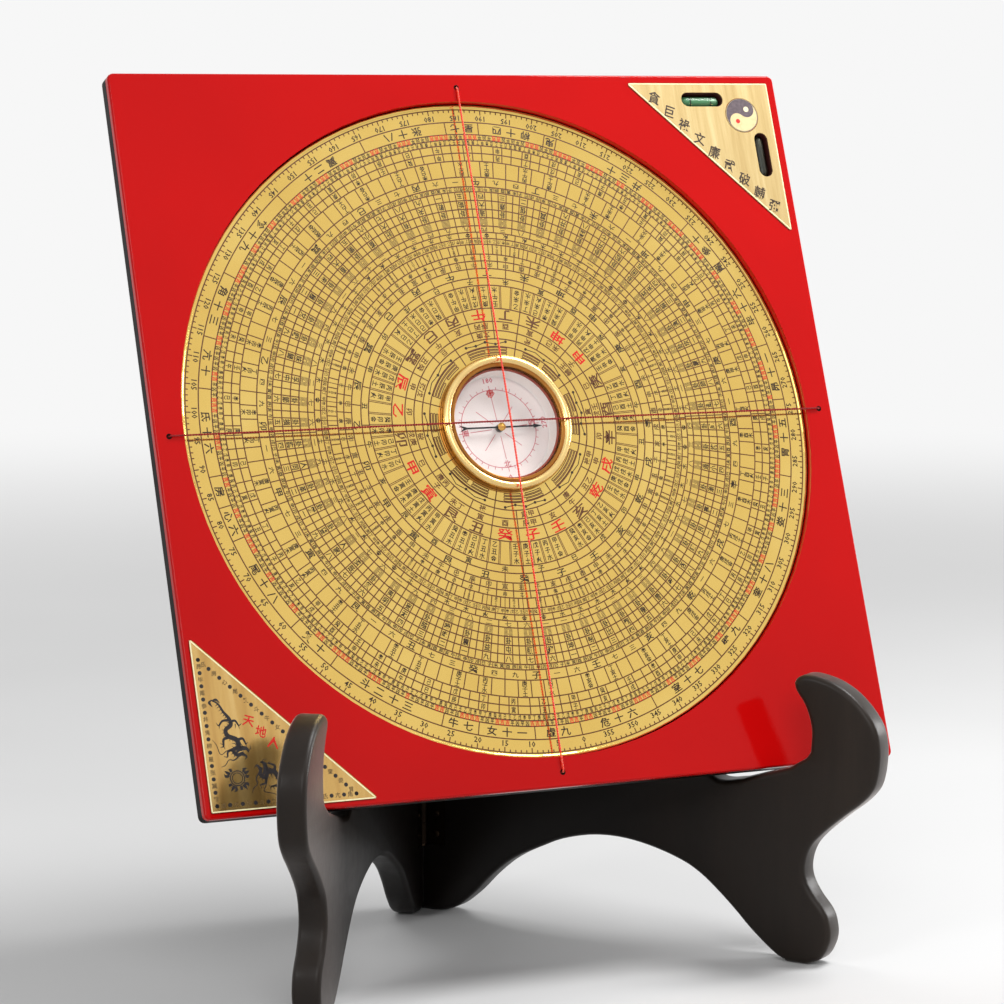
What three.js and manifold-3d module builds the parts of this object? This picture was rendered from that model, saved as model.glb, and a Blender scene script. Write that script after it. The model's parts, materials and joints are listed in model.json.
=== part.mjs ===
// Chinese compass (luopan) standing on a folding wooden display stand.
// Millimetres, +Z up. The board faces -Y and leans back against the stand.
// Origin: on the floor, under the middle of the whole object.

import * as THREE from 'three';
import { mergeVertices } from 'three/addons/utils/BufferGeometryUtils.js';
import Module from 'manifold-3d';

const wasm = await Module();
wasm.setup();

// Shared clearances
const fitGap = 0.3;
const turnGap = 0.5;
const overrun = 2;

// Square board
const boardSide = 286;
const boardCornerRadius = 2.4;
const boardLean = THREE.MathUtils.degToRad(21.14);
const panelThickness = 3;
const panelEdgeRound = 0.8;
const baseThickness = 10.7;
const baseStraight = 4.2;
const baseBevelInset = 3.2;

// Turning dial
const dialMargin = 11.9;
const dialRadius = boardSide / 2 - dialMargin;
const dialDrop = 3;
const dialFaceThickness = 1;
const dialRimWidth = 1.2;
const dialRimHeight = 0.25;
const carrierThickness = 3.7;
const carrierRebateWidth = 6;
const carrierRebateDepth = 1.2;

// Needle capsule in the middle of the dial
const cupInnerRadius = 22.5;
const cupWall = 0.9;
const cupFloor = 1;
const cupFlangeWidth = 2;
const cupFlangeThickness = 0.8;
const cardDepth = 9.5;
const cardThickness = 0.6;
const linerWall = 0.6;
const glassRadius = 23;
const glassThickness = 1.2;
const bezelOuterRadius = 27;
const bezelInnerRadius = 22.4;
const bezelRise = 1;
const bezelLipThickness = 0.4;

// Needle on its pivot
const pivotFootRadius = 1.6;
const pivotFootThickness = 0.5;
const pivotRadius = 0.3;
const pivotHeight = 2.4;
const pivotPointLength = 0.9;
const bladeLength = 35;
const bladeWidth = 0.6;
const bladeThickness = 0.4;
const bladeEyeRadius = 1.6;
const bladeHeadLength = 3.6;
const bladeHeadWidth = 1.6;
const bladeForkLength = 3.2;
const bladeForkWidth = 2.6;
const bladeForkNotch = 1.7;
const capRadius = 1.6;
const capNeckRadius = 0.9;
const capNeckLength = 1;
const capFlangeThickness = 0.5;
const capDomeHeight = 0.7;
const capBoreDepth = 1.3;

// Cross threads
const threadRadius = 0.35;
const threadHoleRadius = 0.85;
const threadHoleInset = 5.6;
const threadBend = 0.8;
const knotRadius = 1.3;

// Corner plates, spirit levels and round emblem
const plateLeg = 64.4;
const plateInset = 3.6;
const ornamentLeg = 64.7;
const ornamentSideInset = 2.7;
const ornamentFootInset = 2.2;
const plateThickness = 0.5;
const plateProud = 0.3;
const plateCornerRadius = 0.7;
const windowLength = 19;
const windowWidth = 6.1;
const windowFromCorner = 34.6;
const windowFromEdge = 10.6;
const vialRadius = 2.6;
const emblemRadius = 7.2;
const emblemFromEdge = 17.5;
const emblemThickness = 0.65;

// Folding stand
const standHalfAngle = THREE.MathUtils.degToRad(34.6);
const wingThickness = 11;
const wingEdgeRound = 1.4;
const foldReach = -6;
const spineReach = 3.8;
const seatReach = 160.2;
const seatHeight = 74.5;
const hookReach = 44.8;
const wingReach = seatReach + hookReach;
const hookRise = 38.5;
const hookTop = seatHeight + hookRise;
const archHeight = 40.5;
const uprightHeight = 236;
const uprightTopRound = 18;
const uprightShoulder = 205;
const backFootLength = 4;
const frontFootSetback = 39;
const frontFootStart = wingReach - frontFootSetback;
const frontFootLength = 8;
const rampFront = 5.1;
const rampBack = 14;
const valleyDrop = 1;
const valleyRelief = 5.4;
const valleyRise = 14.5;
const boardShift = 4.8;

// Butt hinges on the stand's back edges
const hingeHeights = [28, 168];
const hingeLength = 26;
const leafReach = 10.5;
const leafThickness = 1;
const leafSunk = 0.15;
const barrelRadius = 1.9;
const pinRadius = 0.8;
const pinHeadRadius = 1.5;
const pinHeadThickness = 0.6;

// Facets
const fineFacets = 96;
const middleFacets = 56;
const smallFacets = 16;
const threadHalfSides = 4;
const curveSteps = 2;
const crownSteps = 7;
const cornerSteps = 4;

// Solids

function solid(geometry) {
  const bare = geometry.index ? geometry.toNonIndexed() : geometry.clone();
  bare.deleteAttribute('normal');
  bare.deleteAttribute('uv');
  const merged = mergeVertices(bare, 1e-5);
  const index = merged.index.array;
  const kept = [];
  for (let i = 0; i < index.length; i += 3) {
    const [a, b, c] = [index[i], index[i + 1], index[i + 2]];
    if (a !== b && b !== c && c !== a) kept.push(a, b, c);
  }
  return new wasm.Manifold(new wasm.Mesh({
    numProp: 3,
    vertProperties: new Float32Array(merged.attributes.position.array),
    triVerts: new Uint32Array(kept),
  }));
}

function surface(manifold) {
  const mesh = manifold.getMesh();
  const geometry = new THREE.BufferGeometry();
  geometry.setAttribute('position', new THREE.BufferAttribute(new Float32Array(mesh.vertProperties), 3));
  geometry.setIndex(new THREE.BufferAttribute(new Uint32Array(mesh.triVerts), 1));
  geometry.computeVertexNormals();
  return geometry;
}

function cut(geometry, ...tools) {
  let body = solid(geometry);
  for (const tool of tools) body = body.subtract(solid(tool));
  return surface(body);
}

function join(...geometries) {
  let body = solid(geometries[0]);
  for (const other of geometries.slice(1)) body = body.add(solid(other));
  return surface(body);
}

// A disc or rod along Z from low to high
function rod(radius, low, high, facets, x = 0, y = 0) {
  const geometry = new THREE.CylinderGeometry(radius, radius, high - low, facets);
  geometry.rotateX(Math.PI / 2);
  geometry.translate(x, y, (low + high) / 2);
  return geometry;
}

// A body of revolution about Z; the profile runs from low Z to high Z outside
function revolve(profile, facets) {
  const points = profile.map(([r, z]) => new THREE.Vector2(r, z));
  const geometry = new THREE.LatheGeometry(points, facets);
  geometry.rotateX(Math.PI / 2);
  return geometry;
}

// Closed body through outlines of equal point counts stacked along Z
function loft(rings, levels) {
  const count = rings[0].length;
  const positions = [];
  rings.forEach((ring, k) => ring.forEach((p) => positions.push(p.x, p.y, levels[k])));
  const index = [];
  for (let k = 0; k + 1 < rings.length; k += 1) {
    for (let i = 0; i < count; i += 1) {
      const j = (i + 1) % count;
      const [a, b] = [k * count + i, k * count + j];
      index.push(a, b, b + count, a, b + count, a + count);
    }
  }
  const last = (rings.length - 1) * count;
  for (const [a, b, c] of THREE.ShapeUtils.triangulateShape(rings[0], [])) index.push(c, b, a);
  const top = THREE.ShapeUtils.triangulateShape(rings[rings.length - 1], []);
  for (const [a, b, c] of top) index.push(last + a, last + b, last + c);
  const geometry = new THREE.BufferGeometry();
  geometry.setAttribute('position', new THREE.Float32BufferAttribute(positions, 3));
  geometry.setIndex(index);
  return geometry;
}

// Square outline with round corners, drawn in by inset
function squareOutline(side, radius, inset) {
  const half = side / 2 - inset;
  const r = Math.max(radius - inset, radius / 4);
  const points = [];
  for (let corner = 0; corner < 4; corner += 1) {
    const turn = corner * Math.PI / 2;
    const centre = new THREE.Vector2(half - r, half - r).rotateAround(new THREE.Vector2(), turn);
    for (let i = 0; i <= cornerSteps; i += 1) {
      const angle = turn + i / cornerSteps * Math.PI / 2;
      points.push(new THREE.Vector2(centre.x + r * Math.cos(angle), centre.y + r * Math.sin(angle)));
    }
  }
  return points;
}

// Slot with round ends, along X or along Y
function obround(length, width, x, y, upright) {
  const shape = new THREE.Shape();
  const r = width / 2;
  const run = length / 2 - r;
  shape.absarc(run, 0, r, -Math.PI / 2, Math.PI / 2, false);
  shape.absarc(-run, 0, r, Math.PI / 2, Math.PI * 3 / 2, false);
  shape.closePath();
  return { shape, x, y, turn: upright ? Math.PI / 2 : 0 };
}

function slotTool(slot, low, high) {
  const geometry = new THREE.ExtrudeGeometry(slot.shape, {
    depth: high - low, bevelEnabled: false, curveSegments: smallFacets / 2,
  });
  geometry.rotateZ(slot.turn);
  geometry.translate(slot.x, slot.y, low);
  return geometry;
}

// Right triangle with round corners; the square corner points to +X +Y
function cornerTriangle(leg, radius, farX, farY) {
  const shape = new THREE.Shape();
  const points = [[farX - leg, farY], [farX, farY - leg], [farX, farY]];
  const centres = [];
  const turns = [];
  const slant = Math.PI / 4;
  const reach = radius / Math.tan(slant / 2);
  centres.push([points[0][0] + reach, farY - radius]);
  turns.push([Math.PI / 2, Math.PI + slant]);
  centres.push([farX - radius, points[1][1] + reach]);
  turns.push([-Math.PI + slant, 0]);
  centres.push([farX - radius, farY - radius]);
  turns.push([0, Math.PI / 2]);
  centres.forEach(([x, y], i) => shape.absarc(x, y, radius, turns[i][0], turns[i][1], false));
  shape.closePath();
  return shape;
}

function sheet(shape, low, high) {
  const geometry = new THREE.ExtrudeGeometry(shape, {
    depth: high - low, bevelEnabled: false, curveSegments: cornerSteps,
  });
  geometry.translate(0, 0, low);
  return geometry;
}

function material(color, roughness, metalness, extra = {}) {
  return new THREE.MeshStandardMaterial({ color, roughness, metalness, ...extra });
}

const looks = {
  lacquer: () => material(0xc81414, 0.22, 0),
  blackBase: () => material(0x141212, 0.45, 0),
  dialGold: () => material(0xe2c476, 0.34, 0.55),
  bakelite: () => material(0x2a1a12, 0.5, 0),
  brass: () => material(0xd9a441, 0.2, 1),
  brushedBrass: () => material(0xdcc07a, 0.38, 0.9),
  redBrown: () => material(0x7a2a14, 0.4, 0.3),
  card: () => material(0xeadada, 0.6, 0),
  glass: () => material(0xf4fbff, 0.05, 0, { transparent: true, opacity: 0.25 }),
  greenGlass: () => material(0x3f7a58, 0.08, 0, { transparent: true, opacity: 0.6 }),
  darkGlass: () => material(0x2a2422, 0.1, 0, { transparent: true, opacity: 0.8 }),
  steel: () => material(0x9a9a9a, 0.3, 1),
  blackSteel: () => material(0x141414, 0.4, 0.8),
  thread: () => material(0xd8321e, 0.7, 0),
  darkThread: () => material(0x8e0c14, 0.7, 0),
  enamel: () => material(0x6a6064, 0.3, 0.2),
  blackWood: () => material(0x2b2523, 0.6, 0),
};

function piece(name, geometry, look) {
  const mesh = new THREE.Mesh(geometry, looks[look]());
  mesh.name = name;
  return mesh;
}

// Heights along the board's normal, measured from its red face
const panelLow = -panelThickness;
const baseHigh = panelLow - fitGap;
const baseLow = baseHigh - baseThickness;
const boardDepth = -baseLow;
const dialHigh = -dialDrop;
const dialLow = dialHigh - dialFaceThickness;
const carrierHigh = dialLow - fitGap;
const carrierLow = carrierHigh - carrierThickness;
const recessFloor = carrierLow - fitGap;
const recessRadius = dialRadius + turnGap;
const cardHigh = -cardDepth;
const cardLow = cardHigh - cardThickness;
const cupFloorHigh = cardLow - fitGap;
const cupLow = cupFloorHigh - cupFloor;
const cupOuterRadius = cupInnerRadius + cupWall;
const flangeLow = dialHigh + fitGap;
const flangeHigh = flangeLow + cupFlangeThickness;
const flangeRadius = cupOuterRadius + cupFlangeWidth;
const glassLow = flangeHigh + fitGap;
const glassHigh = glassLow + glassThickness;
const boreRadius = cupOuterRadius + fitGap;
const pivotBoreRadius = boreRadius + turnGap - fitGap;
const boreFloor = cupLow - fitGap;

// Corner windows, levels and emblem, in board coordinates
const boardHalf = boardSide / 2;
const windows = [
  obround(windowLength, windowWidth, boardHalf - windowFromCorner, boardHalf - windowFromEdge, false),
  obround(windowLength, windowWidth, boardHalf - windowFromEdge, boardHalf - windowFromCorner, true),
];
const vialDepth = vialRadius + fitGap + plateThickness;
const vialFloor = -vialDepth - vialRadius - fitGap;
const emblemPlace = boardHalf - emblemFromEdge;
const threadPlace = boardHalf - threadHoleInset;
const threadHoles = [0, 1, 2, 3].map((i) => {
  const angle = i * Math.PI / 2;
  return [threadPlace * Math.cos(angle), threadPlace * Math.sin(angle)];
});

function threadHoleTools(low, high) {
  return threadHoles.map(([x, y]) => rod(threadHoleRadius, low, high, smallFacets / 2 + 2, x, y));
}

function plateShape(grow, leg = plateLeg, sideInset = plateInset, footInset = plateInset) {
  return cornerTriangle(
    leg + grow * (2 + Math.SQRT2),
    plateCornerRadius + grow,
    boardHalf - sideInset + grow,
    boardHalf - footInset + grow,
  );
}

// The ornament plate sits nearer to the board's edges; its shape is turned half round
function ornamentSheet(grow, low, high) {
  return sheet(plateShape(grow, ornamentLeg, ornamentSideInset, ornamentFootInset), low, high).rotateZ(Math.PI);
}

// Board

const panelRings = [];
const panelLevels = [];
panelRings.push(squareOutline(boardSide, boardCornerRadius, 0));
panelLevels.push(panelLow);
for (let i = 0; i <= cornerSteps; i += 1) {
  const angle = i / cornerSteps * Math.PI / 2;
  panelRings.push(squareOutline(boardSide, boardCornerRadius, panelEdgeRound * (1 - Math.cos(angle))));
  panelLevels.push(-panelEdgeRound * (1 - Math.sin(angle)));
}
const plateRecessLow = plateProud - plateThickness - fitGap;
const recessTool = sheet(plateShape(fitGap), plateRecessLow, overrun);
const oppositeRecessTool = ornamentSheet(fitGap, plateRecessLow, overrun);
const facePanel = cut(
  loft(panelRings, panelLevels),
  rod(recessRadius, panelLow - overrun, overrun, fineFacets),
  ...windows.map((slot) => slotTool(slot, panelLow - overrun, overrun)),
  ...threadHoleTools(panelLow - overrun, overrun),
  recessTool,
  oppositeRecessTool,
);

const baseRings = [baseBevelInset, 0, 0].map((inset) => squareOutline(boardSide, boardCornerRadius, inset));
const baseBoard = cut(
  loft(baseRings, [baseLow, baseHigh - baseStraight, baseHigh]),
  rod(recessRadius, recessFloor, overrun, fineFacets),
  rod(pivotBoreRadius, boreFloor, overrun, middleFacets),
  ...windows.map((slot) => slotTool(slot, vialFloor, overrun)),
  ...threadHoleTools(baseLow - overrun, overrun),
);

const plateLow = plateProud - plateThickness;
const levelPlate = cut(
  sheet(plateShape(0), plateLow, plateProud),
  ...windows.map((slot) => slotTool(slot, plateLow - overrun, overrun)),
  rod(emblemRadius + fitGap, plateLow - overrun, overrun, middleFacets / 2, emblemPlace, emblemPlace),
);
const ornamentPlate = ornamentSheet(0, plateLow, plateProud);
const emblemDisc = rod(emblemRadius, plateLow, plateLow + emblemThickness, middleFacets / 2, emblemPlace, emblemPlace);

// A sealed glass tube with round ends, lying in its window
function vial(slot) {
  const tip = windowLength / 2 - fitGap;
  const profile = [];
  for (let i = 0; i <= cornerSteps; i += 1) {
    const angle = -Math.PI / 2 + i / cornerSteps * Math.PI / 2;
    const radius = i === 0 ? 0 : vialRadius * Math.cos(angle);
    profile.push([radius, -tip + vialRadius + vialRadius * Math.sin(angle)]);
  }
  const mirrored = profile.slice().reverse().map(([r, z]) => [r, -z]);
  const geometry = revolve([...profile, ...mirrored], smallFacets);
  geometry.rotateY(Math.PI / 2);
  geometry.rotateZ(slot.turn);
  geometry.translate(slot.x, slot.y, -vialDepth);
  return geometry;
}

// Planar route for a thread: it visits its points in order, one ring at each
class Route extends THREE.Curve {
  constructor(points) {
    super();
    this.points = points;
  }

  getPoint(t) {
    const place = t * (this.points.length - 1);
    const i = Math.min(Math.floor(place), this.points.length - 2);
    return this.points[i].clone().lerp(this.points[i + 1], place - i);
  }

  getPointAt(u) {
    return this.getPoint(u);
  }

  getTangentAt(u) {
    return this.getTangent(u);
  }
}

// Thread from hole to hole over the bezel, with a knot behind each hole
function crossThread(runs, turn) {
  const lift = threadRadius + fitGap;
  const side = [];
  side.push([threadPlace, baseLow - fitGap - knotRadius]);
  side.push([threadPlace, lift - threadBend]);
  for (let i = 1; i <= cornerSteps; i += 1) {
    const angle = i / cornerSteps * Math.PI / 2;
    const across = threadBend * (1 - Math.cos(angle));
    side.push([threadPlace - across, lift - threadBend + threadBend * Math.sin(angle)]);
  }
  const mirrored = side.slice().reverse().map(([x, z]) => [-x, z]);
  const points = [...side, ...runs, ...mirrored].map(([x, z]) => new THREE.Vector3(x, 0, z));
  const section = new THREE.Shape();
  section.absarc(0, 0, threadRadius, 0, Math.PI * 2, false);
  const tube = new THREE.ExtrudeGeometry(section, {
    steps: points.length - 1, extrudePath: new Route(points), curveSegments: threadHalfSides,
  });
  const knots = [threadPlace, -threadPlace].map((x) => {
    const knot = new THREE.SphereGeometry(knotRadius, smallFacets / 2, smallFacets / 2 - 2);
    knot.translate(x, 0, baseLow - fitGap - knotRadius);
    return knot;
  });
  return join(tube, ...knots).rotateZ(turn);
}

const bezelCrown = (bezelInnerRadius + bezelOuterRadius) / 2;
const lowRun = bezelRise + fitGap + threadRadius;
const highRun = lowRun + threadRadius * 2 + fitGap;
const threadAcross = crossThread([[bezelCrown, lowRun], [-bezelCrown, lowRun]], 0);
const threadUp = crossThread([[0, highRun]], Math.PI / 2);

// Dial

const dialFace = revolve([
  [boreRadius, dialLow],
  [dialRadius, dialLow],
  [dialRadius, dialHigh + dialRimHeight / 2],
  [dialRadius - dialRimWidth / 3, dialHigh + dialRimHeight],
  [dialRadius - dialRimWidth * 2 / 3, dialHigh + dialRimHeight],
  [dialRadius - dialRimWidth, dialHigh],
  [boreRadius, dialHigh],
  [boreRadius, dialLow],
], fineFacets);

const dialCarrier = revolve([
  [boreRadius, carrierLow],
  [dialRadius - carrierRebateWidth, carrierLow],
  [dialRadius - carrierRebateWidth, carrierLow + carrierRebateDepth],
  [dialRadius, carrierLow + carrierRebateDepth],
  [dialRadius, carrierHigh],
  [boreRadius, carrierHigh],
  [boreRadius, carrierLow],
], fineFacets);

const capsuleCup = revolve([
  [0, cupLow],
  [cupOuterRadius, cupLow],
  [cupOuterRadius, flangeLow],
  [flangeRadius, flangeLow],
  [flangeRadius, flangeHigh],
  [cupInnerRadius, flangeHigh],
  [cupInnerRadius, cupFloorHigh],
  [0, cupFloorHigh],
], middleFacets);

const capsuleLiner = revolve([
  [cupInnerRadius - fitGap - linerWall, cardHigh + fitGap],
  [cupInnerRadius - fitGap, cardHigh + fitGap],
  [cupInnerRadius - fitGap, flangeHigh],
  [cupInnerRadius - fitGap - linerWall, flangeHigh],
  [cupInnerRadius - fitGap - linerWall, cardHigh + fitGap],
], middleFacets);

const capsuleCard = rod(cupInnerRadius - fitGap, cardLow, cardHigh, middleFacets);
const capsuleGlass = rod(glassRadius, glassLow, glassHigh, middleFacets);

// Polished ring: round crown outside, a lip over the glass and a rebate over the flange
const bezelProfile = [
  [flangeRadius + fitGap, flangeLow],
  [bezelOuterRadius, flangeLow],
];
const crownWidth = bezelOuterRadius - bezelInnerRadius;
const crownBase = glassHigh + fitGap;
for (let i = 0; i <= crownSteps; i += 1) {
  const angle = i / crownSteps * Math.PI;
  const spread = crownWidth / 2 * Math.cos(angle);
  const low = angle < Math.PI / 2 ? flangeHigh : crownBase + bezelLipThickness;
  bezelProfile.push([bezelCrown + spread, low + (bezelRise - low) * Math.sin(angle)]);
}
bezelProfile.push(
  [bezelInnerRadius, crownBase],
  [glassRadius + fitGap, crownBase],
  [glassRadius + fitGap, flangeHigh + fitGap],
  [flangeRadius + fitGap, flangeHigh + fitGap],
  [flangeRadius + fitGap, flangeLow],
);
const bezelRing = revolve(bezelProfile, middleFacets);

// Needle and pivot

const pivotLow = cardHigh + fitGap;
const pivotTop = pivotLow + pivotHeight;
const pivotPin = revolve([
  [0, pivotLow],
  [pivotFootRadius, pivotLow],
  [pivotFootRadius, pivotLow + pivotFootThickness],
  [pivotRadius, pivotLow + pivotFootThickness],
  [pivotRadius, pivotTop - pivotPointLength],
  [0, pivotTop],
], smallFacets);

const capBoreRadius = pivotRadius + fitGap;
const capBoreTop = pivotTop + fitGap;
const capNeckLow = capBoreTop - capBoreDepth;
const capFlangeLow = capNeckLow + capNeckLength;
const capFlangeHigh = capFlangeLow + capFlangeThickness;
const needleCap = revolve([
  [0, capBoreTop],
  [capBoreRadius, capNeckLow + capBoreRadius / 2],
  [capBoreRadius, capNeckLow],
  [capNeckRadius, capNeckLow],
  [capNeckRadius, capFlangeLow],
  [capRadius, capFlangeLow],
  [capRadius, capFlangeHigh],
  [capRadius / 2, capFlangeHigh + capDomeHeight * 0.8],
  [0, capFlangeHigh + capDomeHeight],
], smallFacets);

// Flat needle: arrow head at +X, forked tail at -X, an eye round the cap's neck
const bladeHigh = capFlangeLow - fitGap;
const bladeShape = new THREE.Shape();
const bladeHalf = bladeWidth / 2;
const eyeStart = Math.asin(bladeHalf / bladeEyeRadius);
const bladeEnd = bladeLength / 2;
bladeShape.absarc(0, 0, bladeEyeRadius, eyeStart, Math.PI - eyeStart, false);
bladeShape.lineTo(-bladeEnd + bladeForkLength, bladeHalf);
bladeShape.lineTo(-bladeEnd, bladeForkWidth / 2);
bladeShape.lineTo(-bladeEnd + bladeForkNotch, 0);
bladeShape.lineTo(-bladeEnd, -bladeForkWidth / 2);
bladeShape.lineTo(-bladeEnd + bladeForkLength, -bladeHalf);
bladeShape.absarc(0, 0, bladeEyeRadius, Math.PI + eyeStart, Math.PI * 2 - eyeStart, false);
bladeShape.lineTo(bladeEnd - bladeHeadLength, -bladeHalf);
bladeShape.lineTo(bladeEnd - bladeHeadLength, -bladeHeadWidth / 2);
bladeShape.lineTo(bladeEnd, 0);
bladeShape.lineTo(bladeEnd - bladeHeadLength, bladeHeadWidth / 2);
bladeShape.lineTo(bladeEnd - bladeHeadLength, bladeHalf);
bladeShape.closePath();
const bladeEye = new THREE.Path();
bladeEye.absarc(0, 0, capNeckRadius + fitGap, 0, Math.PI * 2, true);
bladeShape.holes.push(bladeEye);
const needleBlade = sheet(bladeShape, bladeHigh - bladeThickness, bladeHigh);

// Stand

// Slopes of the board in the plane of a wing
const seatSlope = Math.tan(boardLean) * Math.cos(standHalfAngle);
const leanSlope = Math.tan(boardLean) / Math.cos(standHalfAngle);
const faceStep = wingThickness * Math.tan(standHalfAngle);
const backCornerReach = seatReach - faceStep - boardDepth * Math.cos(boardLean) / Math.cos(standHalfAngle);
const backCornerHeight = seatHeight + fitGap - boardDepth * Math.sin(boardLean);
const leanGap = fitGap / (Math.cos(boardLean) * Math.cos(standHalfAngle));

function uprightEdge(height) {
  return backCornerReach - leanGap - leanSlope * (height - backCornerHeight);
}

// Places as shares of the span between the feet, heights as shares of archHeight
const archShares = [
  [0.037, 0.02], [0.068, 0.064], [0.099, 0.153], [0.13, 0.262], [0.167, 0.415], [0.216, 0.583],
  [0.259, 0.691], [0.305, 0.78], [0.374, 0.902], [0.459, 0.985], [0.543, 1], [0.629, 0.951],
  [0.713, 0.852], [0.765, 0.746], [0.813, 0.6], [0.861, 0.43], [0.898, 0.285], [0.941, 0.14],
  [0.971, 0.055],
];

// Places as shares of wingReach, heights as shares of hookTop, from the front foot to the hook's inside
const hookShares = [
  [0.878, 0.024], [0.894, 0.072], [0.8985, 0.12], [0.889, 0.185], [0.863, 0.243], [0.847, 0.294],
  [0.844, 0.345], [0.855, 0.408], [0.882, 0.464], [0.925, 0.531], [0.958, 0.578], [0.984, 0.634],
  [0.994, 0.71], [0.994, 0.787], [0.982, 0.855], [0.947, 0.93], [0.908, 0.976], [0.868, 0.998],
  [0.838, 1], [0.82, 0.978], [0.823, 0.945], [0.841, 0.898], [0.854, 0.83], [0.8545, 0.765],
  [0.848, 0.723],
];

// Places as shares of the upright's width at its shoulder, heights as shares of its rise above it
const crownShares = [[0.72, 0.99], [0.55, 0.93], [0.42, 0.7], [0.31, 0.42], [0.2, 0.2], [0.1, 0.07]];

function pointsOf(shares, start, reach, height) {
  return shares.map(([a, b]) => new THREE.Vector2(start + a * reach, b * height));
}

const wingShape = new THREE.Shape();
wingShape.moveTo(foldReach, 0);
wingShape.lineTo(backFootLength, 0);
const archSpan = frontFootStart - backFootLength;
wingShape.splineThru([
  ...pointsOf(archShares, backFootLength, archSpan, archHeight),
  new THREE.Vector2(frontFootStart, 0),
]);
wingShape.lineTo(frontFootStart + frontFootLength, 0);
wingShape.splineThru([
  ...pointsOf(hookShares, 0, wingReach, hookTop),
  new THREE.Vector2(seatReach + rampFront, seatHeight + rampFront * seatSlope),
]);
wingShape.lineTo(seatReach - rampBack, seatHeight - rampBack * seatSlope);
const valleyTop = backCornerHeight + valleyRise;
const valleyFloor = backCornerHeight - valleyDrop;
wingShape.splineThru([
  new THREE.Vector2(backCornerReach, valleyFloor),
  new THREE.Vector2(backCornerReach - valleyRelief, valleyFloor + valleyRelief / 2),
  new THREE.Vector2(backCornerReach - valleyRelief - valleyDrop * 2, valleyFloor + valleyRelief * 1.4),
  new THREE.Vector2(uprightEdge(valleyTop), valleyTop),
]);
const crownStart = uprightHeight - uprightTopRound;
const crownWidthTop = uprightEdge(crownStart);
wingShape.lineTo(crownWidthTop, crownStart);
wingShape.splineThru([
  new THREE.Vector2(crownWidthTop - leanSlope * uprightTopRound / 2, crownStart + uprightTopRound * 0.55),
  ...crownShares.map(([a, b]) => new THREE.Vector2(
    foldReach + a * (crownWidthTop - foldReach),
    uprightShoulder + b * (uprightHeight - uprightShoulder),
  )),
  new THREE.Vector2(foldReach, uprightShoulder),
]);
wingShape.closePath();

// What a wing loses at the fold: all behind the flat back, and all past the mitre between the wings
function foldTools(side) {
  const size = uprightHeight / 2;
  const back = new THREE.BoxGeometry(size, size, uprightHeight + overrun * 2);
  const mitre = back.clone();
  back.translate(0, spineReach + size / 2, uprightHeight / 2);
  mitre.translate(side * (fitGap - size) / 2, 0, uprightHeight / 2);
  return [back, mitre].map((tool) => tool.rotateZ(Math.PI / 2 - side * standHalfAngle));
}

// Room for a hinge: its barrel and pin heads at the fold, its leaf let into the wing's inside face
function hingeTools(side, base) {
  const room = fitGap * 2 + pinHeadThickness;
  const depth = leafSunk + leafThickness + fitGap;
  const reach = leafReach + fitGap;
  const seat = new THREE.BoxGeometry(reach + overrun, depth + overrun, hingeLength + fitGap * 2);
  seat.translate((reach - overrun) / 2, side * (depth - overrun) / 2, base + hingeLength / 2);
  return [rod(barrelRadius + fitGap, base - room, base + hingeLength + room, middleFacets / 2), seat];
}

// side is 1 for the right wing, whose thickness runs away from +Z, and -1 for the left wing
function wing(side) {
  const geometry = new THREE.ExtrudeGeometry(wingShape, {
    depth: wingThickness - wingEdgeRound * 2,
    bevelEnabled: true,
    bevelThickness: wingEdgeRound,
    bevelSize: wingEdgeRound,
    bevelOffset: -wingEdgeRound,
    bevelSegments: 2,
    curveSegments: curveSteps,
  });
  geometry.translate(0, 0, wingEdgeRound);
  if (side > 0) geometry.translate(0, 0, -wingThickness);
  geometry.rotateX(Math.PI / 2);
  return cut(geometry, ...foldTools(side), ...hingeHeights.flatMap((base) => hingeTools(side, base)));
}

// One leaf of a butt hinge with its share of the three-part barrel
const barrelPart = hingeLength / 3;

function hingeLeaf(side, base) {
  const clear = barrelRadius + fitGap;
  const place = side * (leafSunk + leafThickness / 2);
  const flat = new THREE.BoxGeometry(leafReach - clear, leafThickness, hingeLength);
  flat.translate((leafReach + clear) / 2, place, hingeLength / 2);
  const spans = side > 0 ? [[0, 1], [2, 3]] : [[1, 2]];
  const parts = spans.map(([from, to]) => {
    const low = from * barrelPart + (from > 0 ? fitGap / 2 : 0);
    const high = to * barrelPart - (to < 3 ? fitGap / 2 : 0);
    const tab = new THREE.BoxGeometry(clear + leafThickness, leafThickness, high - low);
    tab.translate((clear + leafThickness) / 2, place, (low + high) / 2);
    return [tab, rod(barrelRadius, low, high, smallFacets)];
  }).flat();
  const body = solid(join(flat, ...parts));
  const bore = solid(rod(pinRadius + fitGap, -overrun, hingeLength + overrun, smallFacets));
  return surface(body.subtract(bore)).translate(0, 0, base);
}

function hingePin(base) {
  const low = base - fitGap - pinHeadThickness;
  const high = base + hingeLength + fitGap + pinHeadThickness;
  return revolve([
    [0, low],
    [pinHeadRadius, low],
    [pinHeadRadius, low + pinHeadThickness],
    [pinRadius, low + pinHeadThickness],
    [pinRadius, high - pinHeadThickness],
    [pinHeadRadius, high - pinHeadThickness],
    [pinHeadRadius, high],
    [0, high],
  ], smallFacets);
}

// Assembly

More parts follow.
